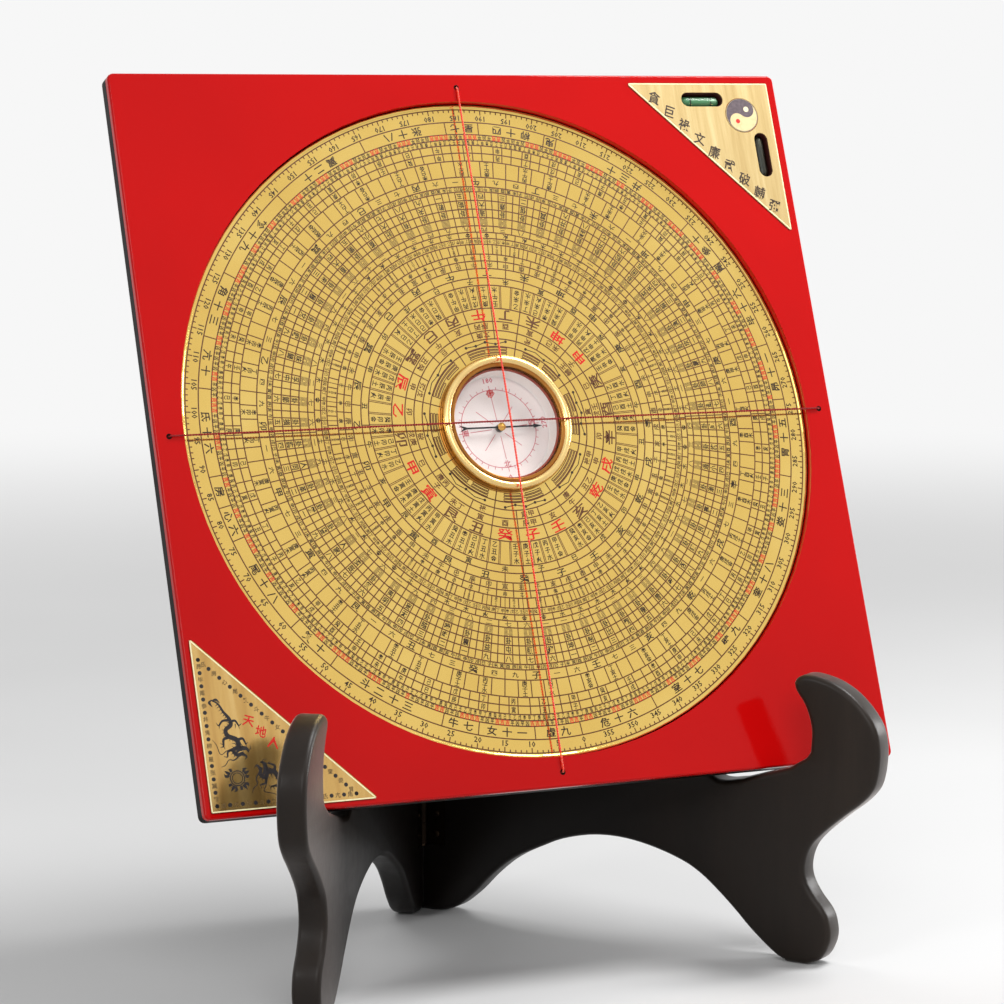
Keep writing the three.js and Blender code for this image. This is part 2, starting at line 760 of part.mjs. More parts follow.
const rightSide = new THREE.Group();
rightSide.rotation.z = standHalfAngle - Math.PI / 2;
rightSide.add(piece('stand_right_wing', wing(1), 'blackWood'));
const leftSide = new THREE.Group();
leftSide.rotation.z = -standHalfAngle - Math.PI / 2;
leftSide.add(piece('stand_left_wing', wing(-1), 'blackWood'));
const hingeNames = ['lower', 'upper'];
hingeHeights.forEach((base, i) => {
  rightSide.add(piece(`hinge_${hingeNames[i]}_leaf_right`, hingeLeaf(1, base), 'brass'));
  rightSide.add(piece(`hinge_${hingeNames[i]}_pin`, hingePin(base), 'steel'));
  leftSide.add(piece(`hinge_${hingeNames[i]}_leaf_left`, hingeLeaf(-1, base), 'brass'));
});
const stand = new THREE.Group();
stand.position.x = -boardShift;
stand.add(rightSide, leftSide);

const compass = new THREE.Group();
compass.rotation.x = Math.PI / 2 - boardLean;
const frontEdgeY = -seatReach * Math.cos(standHalfAngle) + wingThickness * Math.sin(standHalfAngle);
compass.position.set(
  0,
  frontEdgeY + boardHalf * Math.sin(boardLean),
  seatHeight + fitGap + boardHalf * Math.cos(boardLean),
);
compass.add(
  piece('face_panel', facePanel, 'lacquer'),
  piece('base_board', baseBoard, 'blackBase'),
  piece('level_plate', levelPlate, 'brushedBrass'),
  piece('ornament_plate', ornamentPlate, 'brushedBrass'),
  piece('emblem_disc', emblemDisc, 'enamel'),
  piece('vial_across', vial(windows[0]), 'greenGlass'),
  piece('vial_upright', vial(windows[1]), 'darkGlass'),
  piece('thread_across', threadAcross, 'darkThread'),
  piece('thread_upright', threadUp, 'thread'),
  piece('dial_face', dialFace, 'dialGold'),
  piece('dial_carrier', dialCarrier, 'bakelite'),
  piece('capsule_cup', capsuleCup, 'brass'),
  piece('capsule_liner', capsuleLiner, 'redBrown'),
  piece('capsule_card', capsuleCard, 'card'),
  piece('capsule_glass', capsuleGlass, 'glass'),
  piece('bezel_ring', bezelRing, 'brass'),
  piece('pivot_pin', pivotPin, 'steel'),
  piece('needle_blade', needleBlade, 'blackSteel'),
  piece('needle_cap', needleCap, 'brass'),
);

const object = new THREE.Group();
object.add(stand, compass);
object.updateMatrixWorld(true);
const box = new THREE.Box3().setFromObject(object, true);
object.position.set(-(box.min.x + box.max.x) / 2, -(box.min.y + box.max.y) / 2, -box.min.z);
object.updateMatrixWorld(true);

export default object;
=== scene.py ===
"""The looks of a Chinese compass on its folding stand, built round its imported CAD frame.

Board coordinates are millimetres from the dial's centre: x to the right, y up the board
and z out of its red face. Dial angles are degrees clockwise from the north mark.
"""

import json
import math

import bmesh
import bpy
import numpy as np
from mathutils import Matrix, Vector
from mathutils.geometry import tessellate_polygon


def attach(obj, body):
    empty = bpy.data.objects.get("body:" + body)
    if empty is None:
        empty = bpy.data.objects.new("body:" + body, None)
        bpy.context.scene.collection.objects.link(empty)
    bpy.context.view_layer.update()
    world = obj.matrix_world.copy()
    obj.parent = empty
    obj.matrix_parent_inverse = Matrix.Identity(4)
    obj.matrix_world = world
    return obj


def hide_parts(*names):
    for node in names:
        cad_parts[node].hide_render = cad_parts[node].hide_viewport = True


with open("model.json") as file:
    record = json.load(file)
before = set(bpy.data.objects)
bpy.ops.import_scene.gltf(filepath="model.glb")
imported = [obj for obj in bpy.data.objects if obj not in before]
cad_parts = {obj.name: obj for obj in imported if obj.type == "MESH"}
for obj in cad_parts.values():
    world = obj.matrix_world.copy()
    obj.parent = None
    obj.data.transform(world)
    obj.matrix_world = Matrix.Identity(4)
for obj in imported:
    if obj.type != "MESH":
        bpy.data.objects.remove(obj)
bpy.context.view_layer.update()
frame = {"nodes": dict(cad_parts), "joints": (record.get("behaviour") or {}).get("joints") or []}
nodes = frame["nodes"]
joints = {joint["name"]: joint for joint in frame["joints"]}

MM = 0.001
RIGHT = Vector((1, 0, 0))
OUTWARDS = Vector(joints["dial_turn"]["axis"]).normalized()
BOARD = Matrix((RIGHT * MM, OUTWARDS.cross(RIGHT) * MM, OUTWARDS * MM)).transposed().to_4x4()
BOARD.translation = Vector(joints["dial_turn"]["pos_m"])

# Heights above the red face
DIAL_TOP, CARD_TOP, PLATE_TOP, EMBLEM_TOP, PRINT_LIFT = -3.0, -9.5, 0.3, 0.45, 0.02

NORTH_TURN = 174.4


# Materials


def srgb(colour):
    """A colour in 0 to 255 steps as the shader's linear colour."""
    share = np.array(colour) / 255
    linear = np.where(share <= 0.04045, share / 12.92, ((share + 0.055) / 1.055) ** 2.4)
    return (*linear, 1.0)


def add_node(tree, kind, inputs=None, **settings):
    """A shader node; each input is a value, or another node's output to link."""
    made = tree.nodes.new(kind)
    for key, value in settings.items():
        setattr(made, key, value)
    for key, value in (inputs or {}).items():
        if isinstance(value, bpy.types.NodeSocket):
            tree.links.new(value, made.inputs[key])
        else:
            made.inputs[key].default_value = value
    return made


class Look:
    """A material of noise in the part's own coordinates."""

    def __init__(self, name, on_board=True):
        self.material = bpy.data.materials.new(name)
        self.material.use_nodes = True
        self.tree = self.material.node_tree
        self.shader = self.tree.nodes["Principled BSDF"]
        self.place = self.node("ShaderNodeTexCoord").outputs["Object"]
        if on_board:
            self.place = self.node("ShaderNodeMapping", {
                "Vector": self.place, "Location": BOARD.translation,
                "Rotation": BOARD.to_euler()}, vector_type="TEXTURE").outputs["Vector"]

    def node(self, kind, inputs=None, **settings):
        return add_node(self.tree, kind, inputs, **settings)

    def drive(self, socket, source):
        self.tree.links.new(source, self.shader.inputs[socket])

    def noise(self, scale, detail=4.0, stretch=(1, 1, 1), rough=0.55):
        place = self.node("ShaderNodeMapping", {"Vector": self.place, "Scale": stretch})
        return self.node("ShaderNodeTexNoise", {
            "Vector": place.outputs["Vector"], "Scale": scale, "Detail": detail,
            "Roughness": rough}).outputs["Fac"]

    def between(self, source, low, high, start=0.0, end=1.0, **settings):
        """A number that goes from low to high while the source goes from start to end."""
        return self.node("ShaderNodeMapRange", {
            "Value": source, "From Min": start, "From Max": end, "To Min": low, "To Max": high,
        }, **settings).outputs["Result"]

    def paint(self, source, stops, gloss=None, relief=None, **values):
        """Colours by a source between stops of (share, colour), and sets the shader's values.

        Gloss is noise and the roughness from and to; relief is noise, the bump's depth in
        metres and its strength.
        """
        ramp = self.node("ShaderNodeValToRGB", {"Fac": source})
        elements = ramp.color_ramp.elements
        while len(elements) < len(stops):
            elements.new(0.5)
        for element, (at, colour) in zip(elements, stops):
            element.position = at
            element.color = srgb(colour)
        self.drive("Base Color", ramp.outputs["Color"])
        if gloss:
            noise, low, high = gloss
            self.drive("Roughness", self.between(self.noise(*noise), low, high))
        if relief:
            noise, depth, strength = relief
            bump = self.node("ShaderNodeBump", {
                "Height": self.noise(*noise), "Distance": depth, "Strength": strength})
            self.drive("Normal", bump.outputs["Normal"])
        for key, value in values.items():
            self.shader.inputs[key.replace("_", " ")].default_value = value
        return self

    def mix(self, share, first, second):
        """Shows a mix of two shaders."""
        mix = self.node("ShaderNodeMixShader", {0: share, 1: first, 2: second})
        output = self.tree.nodes["Material Output"]
        self.tree.links.new(mix.outputs["Shader"], output.inputs["Surface"])


def noise_look(name, stops, grain, gloss=None, relief=None, on_board=True, **values):
    look = Look(name, on_board)
    return look.paint(look.noise(*grain), stops, gloss, relief, **values)


def plate_look(name, dark, middle, light):
    streaks = (160, 7, (1, 0.05, 1), 0.7)
    return noise_look(
        name, [(0.3, dark), (0.5, middle), (0.72, light)], streaks, (streaks, 0.12, 0.28),
        ((700, 6, (1, 0.03, 1)), 0.00001, 0.4),
        Metallic=0.85, Coat_Weight=0.2, Coat_Roughness=0.06)


def brass_look(name, dark, light, rough, on_board=True):
    return noise_look(
        name, [(0.3, dark), (0.7, light)], (60,), ((300, 5), rough, rough + 0.1),
        ((1500, 3), 0.00001, 0.4), on_board, Metallic=1.0)


def plain_look(name, dark, light, rough, scale=60, depth=0.00002, **values):
    return noise_look(
        name, [(0.3, dark), (0.7, light)], (scale,), ((scale * 4, 5), rough, rough + 0.12),
        ((scale * 12, 3), depth, 0.5), **values)


def ink_look(name, dark, light):
    return noise_look(
        name, [(0.35, dark), (0.65, light)], (900, 2), Roughness=0.45, Specular_IOR_Level=0.3)


def wood_look():
    """Black paint with a sheen at the hooks in front; its colour darkening and its sheen fading
    towards the back are painted shade near the fold and under the board.
    """
    look = Look("stand_black_paint", on_board=False)
    depth = look.node("ShaderNodeSeparateXYZ", {"Vector": look.place}).outputs["Y"]
    # Noise times a factor that darkens the paint towards the back: painted shade
    grain = look.node("ShaderNodeMath", {
        0: look.noise(26, 7, (1, 1, 0.12), 0.62),
        1: look.between(depth, 1.0, 0.3, -0.07, 0.01)}, operation="MULTIPLY")
    # The sheen fades from the hooks in front towards the back: painted shade near the fold
    look.drive("Sheen Weight", look.between(depth, 0.7, 0.0, -0.085, -0.035))
    return look.paint(
        grain.outputs["Value"],
        [(0.0, (9, 6, 5)), (0.25, (20, 14, 10)), (0.55, (33, 25, 19)), (0.8, (46, 37, 30))],
        ((190, 7), 0.32, 0.46), ((520, 7, (1, 1, 0.5), 0.7), 0.0001, 0.5),
        Specular_IOR_Level=0.22, Sheen_Roughness=0.29, Sheen_Tint=(1, 0.9, 0.86, 1))


def glass_look(name, tint, rough=0.02):
    """Thin glass that lets lamps through: clear, with a gloss that grows towards the rim."""
    look = Look(name)
    look.tree.nodes.remove(look.shader)
    slope = look.node("ShaderNodeLayerWeight", {"Blend": 0.5})
    rim = look.node("ShaderNodeMath", {0: slope.outputs["Facing"], 1: 4}, operation="POWER")
    share = look.node("ShaderNodeMath", {
        0: rim.outputs["Value"], 1: look.between(look.noise(40, 3), 0.5, 0.8), 2: 0.015,
    }, operation="MULTIPLY_ADD")
    clear = look.node("ShaderNodeBsdfTransparent", {"Color": tint})
    gloss = look.node("ShaderNodeBsdfGlossy", {"Roughness": rough})
    look.mix(share.outputs["Value"], clear.outputs["BSDF"], gloss.outputs["BSDF"])
    return look


LOOKS = {
    "lacquer": noise_look(
        "red_lacquer_gloss", [(0.3, (182, 6, 7)), (0.7, (193, 9, 9))], (9, 3),
        ((70, 6), 0.06, 0.13), ((420, 2), 0.00002, 0.5), Specular_IOR_Level=0.15),
    "base": noise_look(
        "black_base_satin", [(0.3, (10, 8, 7)), (0.75, (27, 22, 19))], (35,),
        ((120, 6), 0.34, 0.5), ((900, 3), 0.00004, 0.6), Specular_IOR_Level=0.05),
    "dial": noise_look(
        "dial_gold_sheet",
        [(0.25, (226, 188, 98)), (0.55, (234, 198, 108)), (0.8, (240, 208, 121))], (22, 5),
        ((600, 5), 0.05, 0.12), ((1800, 3), 0.000004, 0.3), Metallic=0.88),
    "plate": plate_look("corner_plate_brushed", (192, 148, 82), (208, 168, 98), (224, 190, 124)),
    # The same brushed brass as the ornament plate, paler: painted light on the level plate
    "plate_pale": plate_look(
        "level_plate_brushed_painted_light", (216, 182, 118), (230, 201, 140), (242, 218, 162)),
    "bezel": brass_look("bezel_polished", (228, 192, 122), (242, 210, 142), 0.2),
    # A darker copy of the bezel's brass: painted dark reflection on the inner ring, painted shade
    # on the outer skirt
    "bezel_dark": brass_look("bezel_brass_painted_shade", (142, 92, 40), (166, 112, 54), 0.26),
    "brass": brass_look("brass_turned", (206, 152, 70), (224, 174, 90), 0.18),
    "hinge": brass_look("hinge_bronze", (26, 20, 16), (40, 31, 24), 0.48, False),
    "pin": brass_look("hinge_pin_bronze", (52, 42, 34), (74, 60, 47), 0.34, False),
    "steel": brass_look("steel_satin", (160, 160, 162), (186, 186, 188), 0.25),
    "carrier": plain_look("carrier_plastic", (34, 22, 18), (44, 30, 24), 0.4),
    "liner": plain_look("liner_lacquer", (138, 44, 14), (158, 58, 22), 0.3),
    "wall": plain_look("liner_white", (240, 232, 228), (247, 241, 238), 0.35, 90),
    "card": plain_look("card_matt", (246, 232, 229), (252, 241, 239), 0.6, 90, 0.00001),
    "needle": plain_look("needle_blued", (24, 22, 26), (36, 34, 38), 0.3, Metallic=0.7),
    "wood": wood_look(),
    "glass": glass_look("capsule_glass_clear", (0.994, 1, 0.998, 1)),
    "vial": glass_look("vial_glass_clear", (0.86, 0.93, 0.88, 1), 0.16),
    "green": plain_look(
        "level_liquid_green", (74, 126, 92), (98, 150, 110), 0.3, Specular_IOR_Level=0.25),
    # The upright level's liquid and bubble in dark brown: painted shade, as no light comes through
    # from behind
    "dark_liquid": plain_look(
        "level_liquid_painted_shade", (30, 24, 20), (46, 38, 32), 0.25, Specular_IOR_Level=0.4),
    "bubble": plain_look("level_bubble", (128, 172, 136), (154, 194, 158), 0.2),
    "dark_bubble": plain_look("level_bubble_painted_shade", (66, 60, 50), (84, 76, 64), 0.2),
    # Dark brown for the window walls: painted shade on the red lacquer
    "lining": plain_look("window_wall_painted_shade", (52, 14, 12), (66, 20, 16), 0.5),
    "enamel": plain_look("emblem_enamel", (222, 198, 144), (234, 214, 164), 0.22),
    # One red thread in two copies: darker for painted shade, brighter for painted light
    "thread_painted_shade": plain_look("thread_red_painted_shade", (128, 8, 12), (158, 16, 18), 0.6, 700),
    "thread_painted_light": plain_look(
        "thread_red_painted_light", (232, 60, 40), (246, 86, 60), 0.5, 700,
        Subsurface_Weight=1.0, Subsurface_Scale=0.001),
    "line_ink": ink_look("ink_line_brown", (84, 48, 22), (104, 64, 32)),
    "dark_ink": ink_look("ink_script_brown", (44, 29, 14), (62, 43, 22)),
    "grey_ink": ink_look("ink_script_grey", (92, 70, 36), (110, 86, 48)),
    "red_ink": ink_look("ink_script_red", (200, 22, 16), (216, 36, 26)),
    "black_ink": ink_look("ink_black", (26, 22, 24), (42, 36, 38)),
    "pink_ink": ink_look("ink_card_pink", (206, 96, 110), (218, 118, 128)),
    "emblem_dark": ink_look("ink_emblem_dark", (84, 72, 78), (102, 88, 94)),
    "pale_ink": ink_look("ink_plate_pale", (240, 226, 176), (250, 238, 196)),
}
# The CAD nodes that no piece replaces
NODE_LOOKS = {
    "hinge_lower_leaf_right": "hinge", "hinge_lower_leaf_left": "hinge",
    "hinge_upper_leaf_right": "hinge", "hinge_upper_leaf_left": "hinge",
    "hinge_lower_pin": "pin", "hinge_upper_pin": "pin",
    "face_panel": "lacquer", "base_board": "base",
    "level_plate": "plate_pale", "ornament_plate": "plate", "emblem_disc": "enamel",
    "vial_across": "vial", "vial_upright": "vial",
    "dial_face": "dial", "dial_carrier": "carrier",
    "capsule_cup": "brass", "capsule_card": "card", "capsule_glass": "glass",
    "pivot_pin": "steel", "needle_blade": "needle", "needle_cap": "brass",
}
for node, look in NODE_LOOKS.items():
    for slot in nodes[node].material_slots:
        slot.material = LOOKS[look].material


# Meshes

ASKEW = (0.31, 0.17, 0.93)
SMOOTH_BELOW = 34


def placed(name, data):
    """An object in the scene."""
    made = bpy.data.objects.new(name, data)
    bpy.context.scene.collection.objects.link(made)
    return made


def hand_over(name, mesh, look, body, replaces, smooth_below):
    """A mesh as a piece that rides on a body, smooth where its faces meet below an angle."""
    mesh.materials.clear()
    mesh.materials.append(LOOKS[look].material)
    if smooth_below:
        mesh.polygons.foreach_set("use_smooth", [True] * len(mesh.polygons))
        mesh.set_sharp_from_angle(angle=math.radians(smooth_below))
    mesh.update()
    made = placed(name, mesh)
    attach(made, body)
    if replaces:
        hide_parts(replaces)


def piece(name, points, faces, look, body, slot, replaces=None, matrix=BOARD, flat=False):
    """A piece from points and faces; a flat one gets a map of its own plane."""
    points = np.asarray(points, float)
    in_frame = points @ np.array(matrix.to_3x3()).T + np.array(matrix.translation)
    mesh = bpy.data.meshes.new(name)
    mesh.from_pydata(in_frame.tolist(), [], [list(face) for face in faces])
    if flat:
        low = points[:, :2].min(0)
        span = points[:, :2].max(0) - low
        corners = np.empty(len(mesh.loops), np.int32)
        mesh.loops.foreach_get("vertex_index", corners)
        layer = mesh.uv_layers.new(name="OFBake")
        layer.uv.foreach_set("vector", ((points[:, :2] - low) / span)[corners].ravel())
    hand_over(name, mesh, look, body, replaces, None if flat else SMOOTH_BELOW)


def directions(angles):
    """Flat unit vectors at angles in radians."""
    return np.column_stack([np.cos(angles), np.sin(angles)])


def circle(steps):
    return directions(2 * np.pi * np.arange(steps) / steps)


def ellipse(about, reach, start, end, count):
    """Points on an arc, from a start to an end angle in degrees."""
    return directions(np.radians(np.linspace(start, end, count))) * reach + np.array(about)


def unit(rows):
    return rows / np.linalg.norm(rows, axis=1)[:, None]


def spun(points, degrees):
    """Flat points turned counterclockwise."""
    (x, y), = directions(np.radians([degrees]))
    return points @ np.array([[x, y], [-y, x]])


def raised(points, height):
    """Flat points at a height."""
    return np.column_stack([points, np.full(len(points), height)])


def quads(rings, sides, closed=False):
    """Faces between rings of points; a closed shape joins the last ring to the first."""
    faces = []
    for k in range(rings if closed else rings - 1):
        low, high = k * sides, (k + 1) % rings * sides
        for i in range(sides):
            j = (i + 1) % sides
            faces.append((low + i, low + j, high + j, high + i))
    return faces


def rod_faces(rings, sides):
    """Faces of a rod of rings of points, with its two ends closed."""
    last = (rings - 1) * sides
    return [*quads(rings, sides), tuple(reversed(range(sides))), tuple(range(last, last + sides))]


def merged(parts):
    """One list of points and faces out of several."""
    points, faces, count = [], [], 0
    for part_points, part_faces in parts:
        points.append(np.asarray(part_points, float))
        faces.extend(tuple(i + count for i in face) for face in part_faces)
        count += len(part_points)
    return np.concatenate(points), faces


def lathe(profile, segments):
    """Points and faces of a closed profile of (radius, height) turned about z."""
    ring = circle(segments)
    points = [raised(ring * radius, height) for radius, height in profile]
    return np.concatenate(points), quads(len(profile), segments, True)


def tube(path, radius, sides):
    """A round tube along a list of points that nowhere runs along ASKEW, with its ends closed."""
    path = np.asarray(path, float)
    tangent = unit(np.gradient(path, axis=0))
    side = unit(np.cross(tangent, ASKEW))
    other = np.cross(tangent, side)
    reach = np.broadcast_to(np.asarray(radius, float), (len(path),))[:, None, None]
    ring = circle(sides)
    rings = path[:, None] + reach * (ring[:, :1] * side[:, None] + ring[:, 1:] * other[:, None])
    return rings.reshape(-1, 3), rod_faces(len(path), sides)


# Capsule: a round bezel with a darker ring inside it, a painted dark reflection, and one outside
# it, painted shade, and a white wall with a brown lip

for name, look, slot, replaces, profile in (
    ("bezel_rim", "bezel", "bezel_brass", "bezel_ring", [
        (25.7, -2.7), (27.0, -2.7), (27.0, -0.9), *ellipse((25.3, -0.9), (1.7, 1.9), 4, 146, 20),
        (23.7, 0.0), (23.7, -0.3), (23.3, -0.3), (23.3, -1.6), (25.7, -1.6)]),
    # The inner ring and the outer skirt take the darker brass: painted dark reflection and painted
    # shade
    ("bezel_inner", "bezel_dark", "bezel_brass", None, [
        (23.66, -0.1), (23.66, 0.2), (23.5, 0.3),
        *ellipse((22.8, -0.06), (0.4, 0.3), 70, 180, 7), (22.4, -0.2)]),
    ("bezel_skirt", "bezel_dark", "bezel_brass", None, [
        (26.9, -2.65), (27.08, -2.65), (27.08, -0.95), (27.0, -0.45), (26.9, -0.45)]),
    ("liner_wall", "wall", "card_white", "capsule_liner", [
        (22.2, -9.2), (22.2, -2.6), (21.62, -2.6), (21.6, -8.2), (21.3, -9.0), (21.0, -9.2)]),
    ("liner_lip", "liner", "liner_brown", None, [
        (22.25, -2.6), (22.25, -1.95), (22.0, -1.9), (21.6, -2.2), (21.42, -2.45),
        (21.5, -2.6)]),
):
    piece(name, *lathe(profile, 144), look, "dial", slot, replaces)


# Threads: two plies twisted together, with a knot behind each hole

THREAD_PLACE, THREAD_LEVEL, KNOT_LEVEL = 137.4, 0.65, -15.6
PLY, TWIST_PITCH, STEPS_PER_TWIST = 0.22, 2.2, 9
KNOT_SIZE = 0.3


def twisted(route):
    """Two plies wound round a route of (place, height) in one plane."""
    route = np.asarray(route, float)
    run = np.concatenate([[0], np.cumsum(np.hypot(*np.diff(route, axis=0).T))])
    at = np.linspace(0, run[-1], int(run[-1] / TWIST_PITCH * STEPS_PER_TWIST))
    place, height = np.interp(at, run, route[:, 0]), np.interp(at, run, route[:, 1])
    line = np.column_stack([place, np.zeros(len(at)), height])
    side = np.array((0.0, 1.0, 0.0))
    other = np.cross(unit(np.gradient(line, axis=0)), side)
    across, over = directions(2 * np.pi * at / TWIST_PITCH).T[:, :, None]
    offset = PLY * (across * side + over * other)
    return [tube(line + offset, PLY, 5), tube(line - offset, PLY, 5)]


def knot(place):
    """A thread's overhand knot with a short tail."""
    turn = np.linspace(0, 2 * np.pi, 49)
    loop = np.column_stack([
        np.sin(turn) + 2 * np.sin(2 * turn), np.cos(turn) - 2 * np.cos(2 * turn),
        -1.6 * np.sin(3 * turn)]) * KNOT_SIZE + (place, 0, KNOT_LEVEL)
    inward = -math.copysign(1, place)
    tail = [(place + inward * a, b, KNOT_LEVEL + c) for a, b, c in (
        (0, 0, 0), (0.9, 0.7, -0.4), (1.9, 1.2, -0.1), (2.8, 1.3, 0.7), (3.6, 1.7, 1.15))]
    return [tube(loop, 0.38, 7), tube(tail, (0.3, 0.32, 0.3, 0.3, 0.42), 6)]


def cross_thread(node, crest, look, upright):
    corner = [(THREAD_PLACE + x, THREAD_LEVEL + z) for x, z in (
        (0, -0.8), (-0.06, -0.49), (-0.23, -0.23), (-0.49, -0.06), (-0.8, 0))]
    half = [(THREAD_PLACE, KNOT_LEVEL), *corner, *crest]
    route = half + [(-x, z) for x, z in reversed(half) if x > 0]
    points, faces = merged(twisted(route) + knot(THREAD_PLACE) + knot(-THREAD_PLACE))
    if upright:
        points = points[:, [1, 0, 2]] * (-1, 1, 1)
    piece(node + "_twisted", points, faces, look, "board", "red_thread", node)


eyelet, eyelet_faces = lathe([
    (0.72, -2.9), (0.82, -2.9), (0.82, 0.01), (1.1, 0.01), (1.06, 0.07), (0.8, 0.08)], 24)
for i, (x, y) in enumerate(((1, 0), (0, 1), (-1, 0), (0, -1))):
    piece(f"thread_eyelet_{i + 1}", eyelet + (x * THREAD_PLACE, y * THREAD_PLACE, 0),
          eyelet_faces, "base", "board", "black_base")
# The same red thread, painted darker across and brighter upright: painted shade and painted light
cross_thread("thread_across", [(24.7, 1.65)], "thread_painted_shade", False)
cross_thread("thread_upright", [(0.0, 2.65)], "thread_painted_light", True)

# Levels: liquid, bubble and two lines in each glass, and a dark band of painted shade on each
# window's walls

VIAL_LEVEL, VIAL_NEAR, VIAL_FAR = -3.4, 108.4, 132.4
LIQUID_LENGTH, LIQUID_RADIUS = 17.6, 2.24
BUBBLE_LENGTH, BUBBLE_RADIUS, BUBBLE_RISE = 4.4, 1.05, 1.4
LINE_PLACE, LINE_HALF, LINE_INNER, LINE_OUTER = 4.6, 0.22, 2.26, 2.42
WINDOW_RUN, WINDOW_HALF, PAINTED_SHADE_WIDTH = 6.45, 3.05, 0.16
PAINTED_SHADE_TOP, PAINTED_SHADE_FOOT = -0.25, -5.6


def in_window(name, points, faces, look, slot, upright, height):
    """A piece made along x, at one window; the upright window's points swap x and y."""
    middle = (VIAL_NEAR, VIAL_FAR)
    if upright:
        points = points[:, [1, 0, 2]]
        faces = [tuple(reversed(face)) for face in faces]
        middle = (VIAL_FAR, VIAL_NEAR)
    piece(name, points + (*middle, height), faces, look, "board", slot)


def level_piece(name, shapes, look, upright):
    """Turned shapes of (along, radius) in a level's glass, each about its own (along, height)."""
    parts = []
    for profile, (along, height) in shapes:
        points, faces = lathe([(radius, place) for place, radius in profile], 28)
        parts.append((points[:, [2, 0, 1]] + (along, 0, height), faces))
    in_window(name, *merged(parts), look, "vial_glass", upright, VIAL_LEVEL)


def pod(length, radius):
    """A closed profile with round ends."""
    ends = ellipse((length / 2 - radius, 0), radius, 0, 90, 8)
    outline = np.concatenate([ends, ends[::-1] * (-1, 1)])
    outline[[0, -1], 1] = 0.001
    return outline


def level_line(place):
    return [(place + LINE_HALF * side, radius) for side, radius in (
        (-1, LINE_INNER), (1, LINE_INNER), (1, LINE_OUTER), (-1, LINE_OUTER))]


def lining(name, upright):
    """A dark band round the inside of a window, between the plate and the level's bed: painted
    shade on the window's red walls.
    """
    outer, inner = WINDOW_HALF - 0.02, WINDOW_HALF - PAINTED_SHADE_WIDTH
    corners = [
        (hub, way) for hub, start in ((WINDOW_RUN, -90), (-WINDOW_RUN, 90))
        for way in ellipse((0, 0), 1, start, start + 180, 16)]
    points = np.array([
        (hub + way[0] * radius, way[1] * radius, height) for hub, way in corners
        for radius, height in (
            (outer, PAINTED_SHADE_TOP), (outer, PAINTED_SHADE_FOOT), (inner, PAINTED_SHADE_FOOT), (inner, PAINTED_SHADE_TOP))])
    in_window(name, points, quads(len(corners), 4, True), "lining", "black_base", upright, 0)


# The upright level gets the darker liquid and bubble: painted shade
for name, look, bubble, upright, bubble_place in (
        ("vial_across", "green", "bubble", False, 5.6),
        ("vial_upright", "dark_liquid", "dark_bubble", True, 5.4)):
    level_piece(name + "_liquid", [(pod(LIQUID_LENGTH, LIQUID_RADIUS), (0, 0))], look, upright)
    level_piece(name + "_bubble", [
        (pod(BUBBLE_LENGTH, BUBBLE_RADIUS), (bubble_place, BUBBLE_RISE))], bubble, upright)
    level_piece(name + "_lines", [
        (level_line(place), (0, 0)) for place in (-LINE_PLACE, LINE_PLACE)], "black_ink", upright)
# Painted shade on the walls of both windows
lining("window_painted_shade_across", False)
lining("window_painted_shade_upright", True)

# Wings: the CAD outline with its curves drawn finer and its edges round

STAND_HALF_ANGLE = 34.6
WING_THICKNESS, CAD_ROUND, WING_ROUND, ROUND_BULGE, WING_SMOOTH_BELOW = 11.0, 1.4, 2.2, 0.035, 30
FOLD_AXIS = Vector(joints["stand_fold"]["pos_m"]) / MM
FOLD_GAP, SPINE_BACK = 0.3, 3.8
HINGE_BASES, HINGE_LENGTH, LEAF_REACH, LEAF_DEPTH, LEAF_ROOM = (28, 168), 26, 10.8, 1.45, 0.3
BARREL_ROOM, PIN_ROOM = 2.2, 1.2
CROWN_FOOT, FOLD_SIDE, PAST_FOLD, NEAR_LEVEL = 196, 2.3, -6, 0.02
LONG_LINE, SHARP_CORNER, BEND_STEP, MOST_STEPS = 14, 28, 2.5, 6


def wing_frame(side):
    """Millimetres along a wing, through it and up, as metres of the frame."""
    turn = math.radians(side * STAND_HALF_ANGLE - 90)
    along = Vector((math.cos(turn), math.sin(turn), 0))
    through = Vector((-math.sin(turn), math.cos(turn), 0)) * side
    made = Matrix((along * MM, through * MM, Vector((0, 0, MM)))).transposed().to_4x4()
    made.translation = Vector((FOLD_AXIS.x, FOLD_AXIS.y, 0)) * MM
    return made


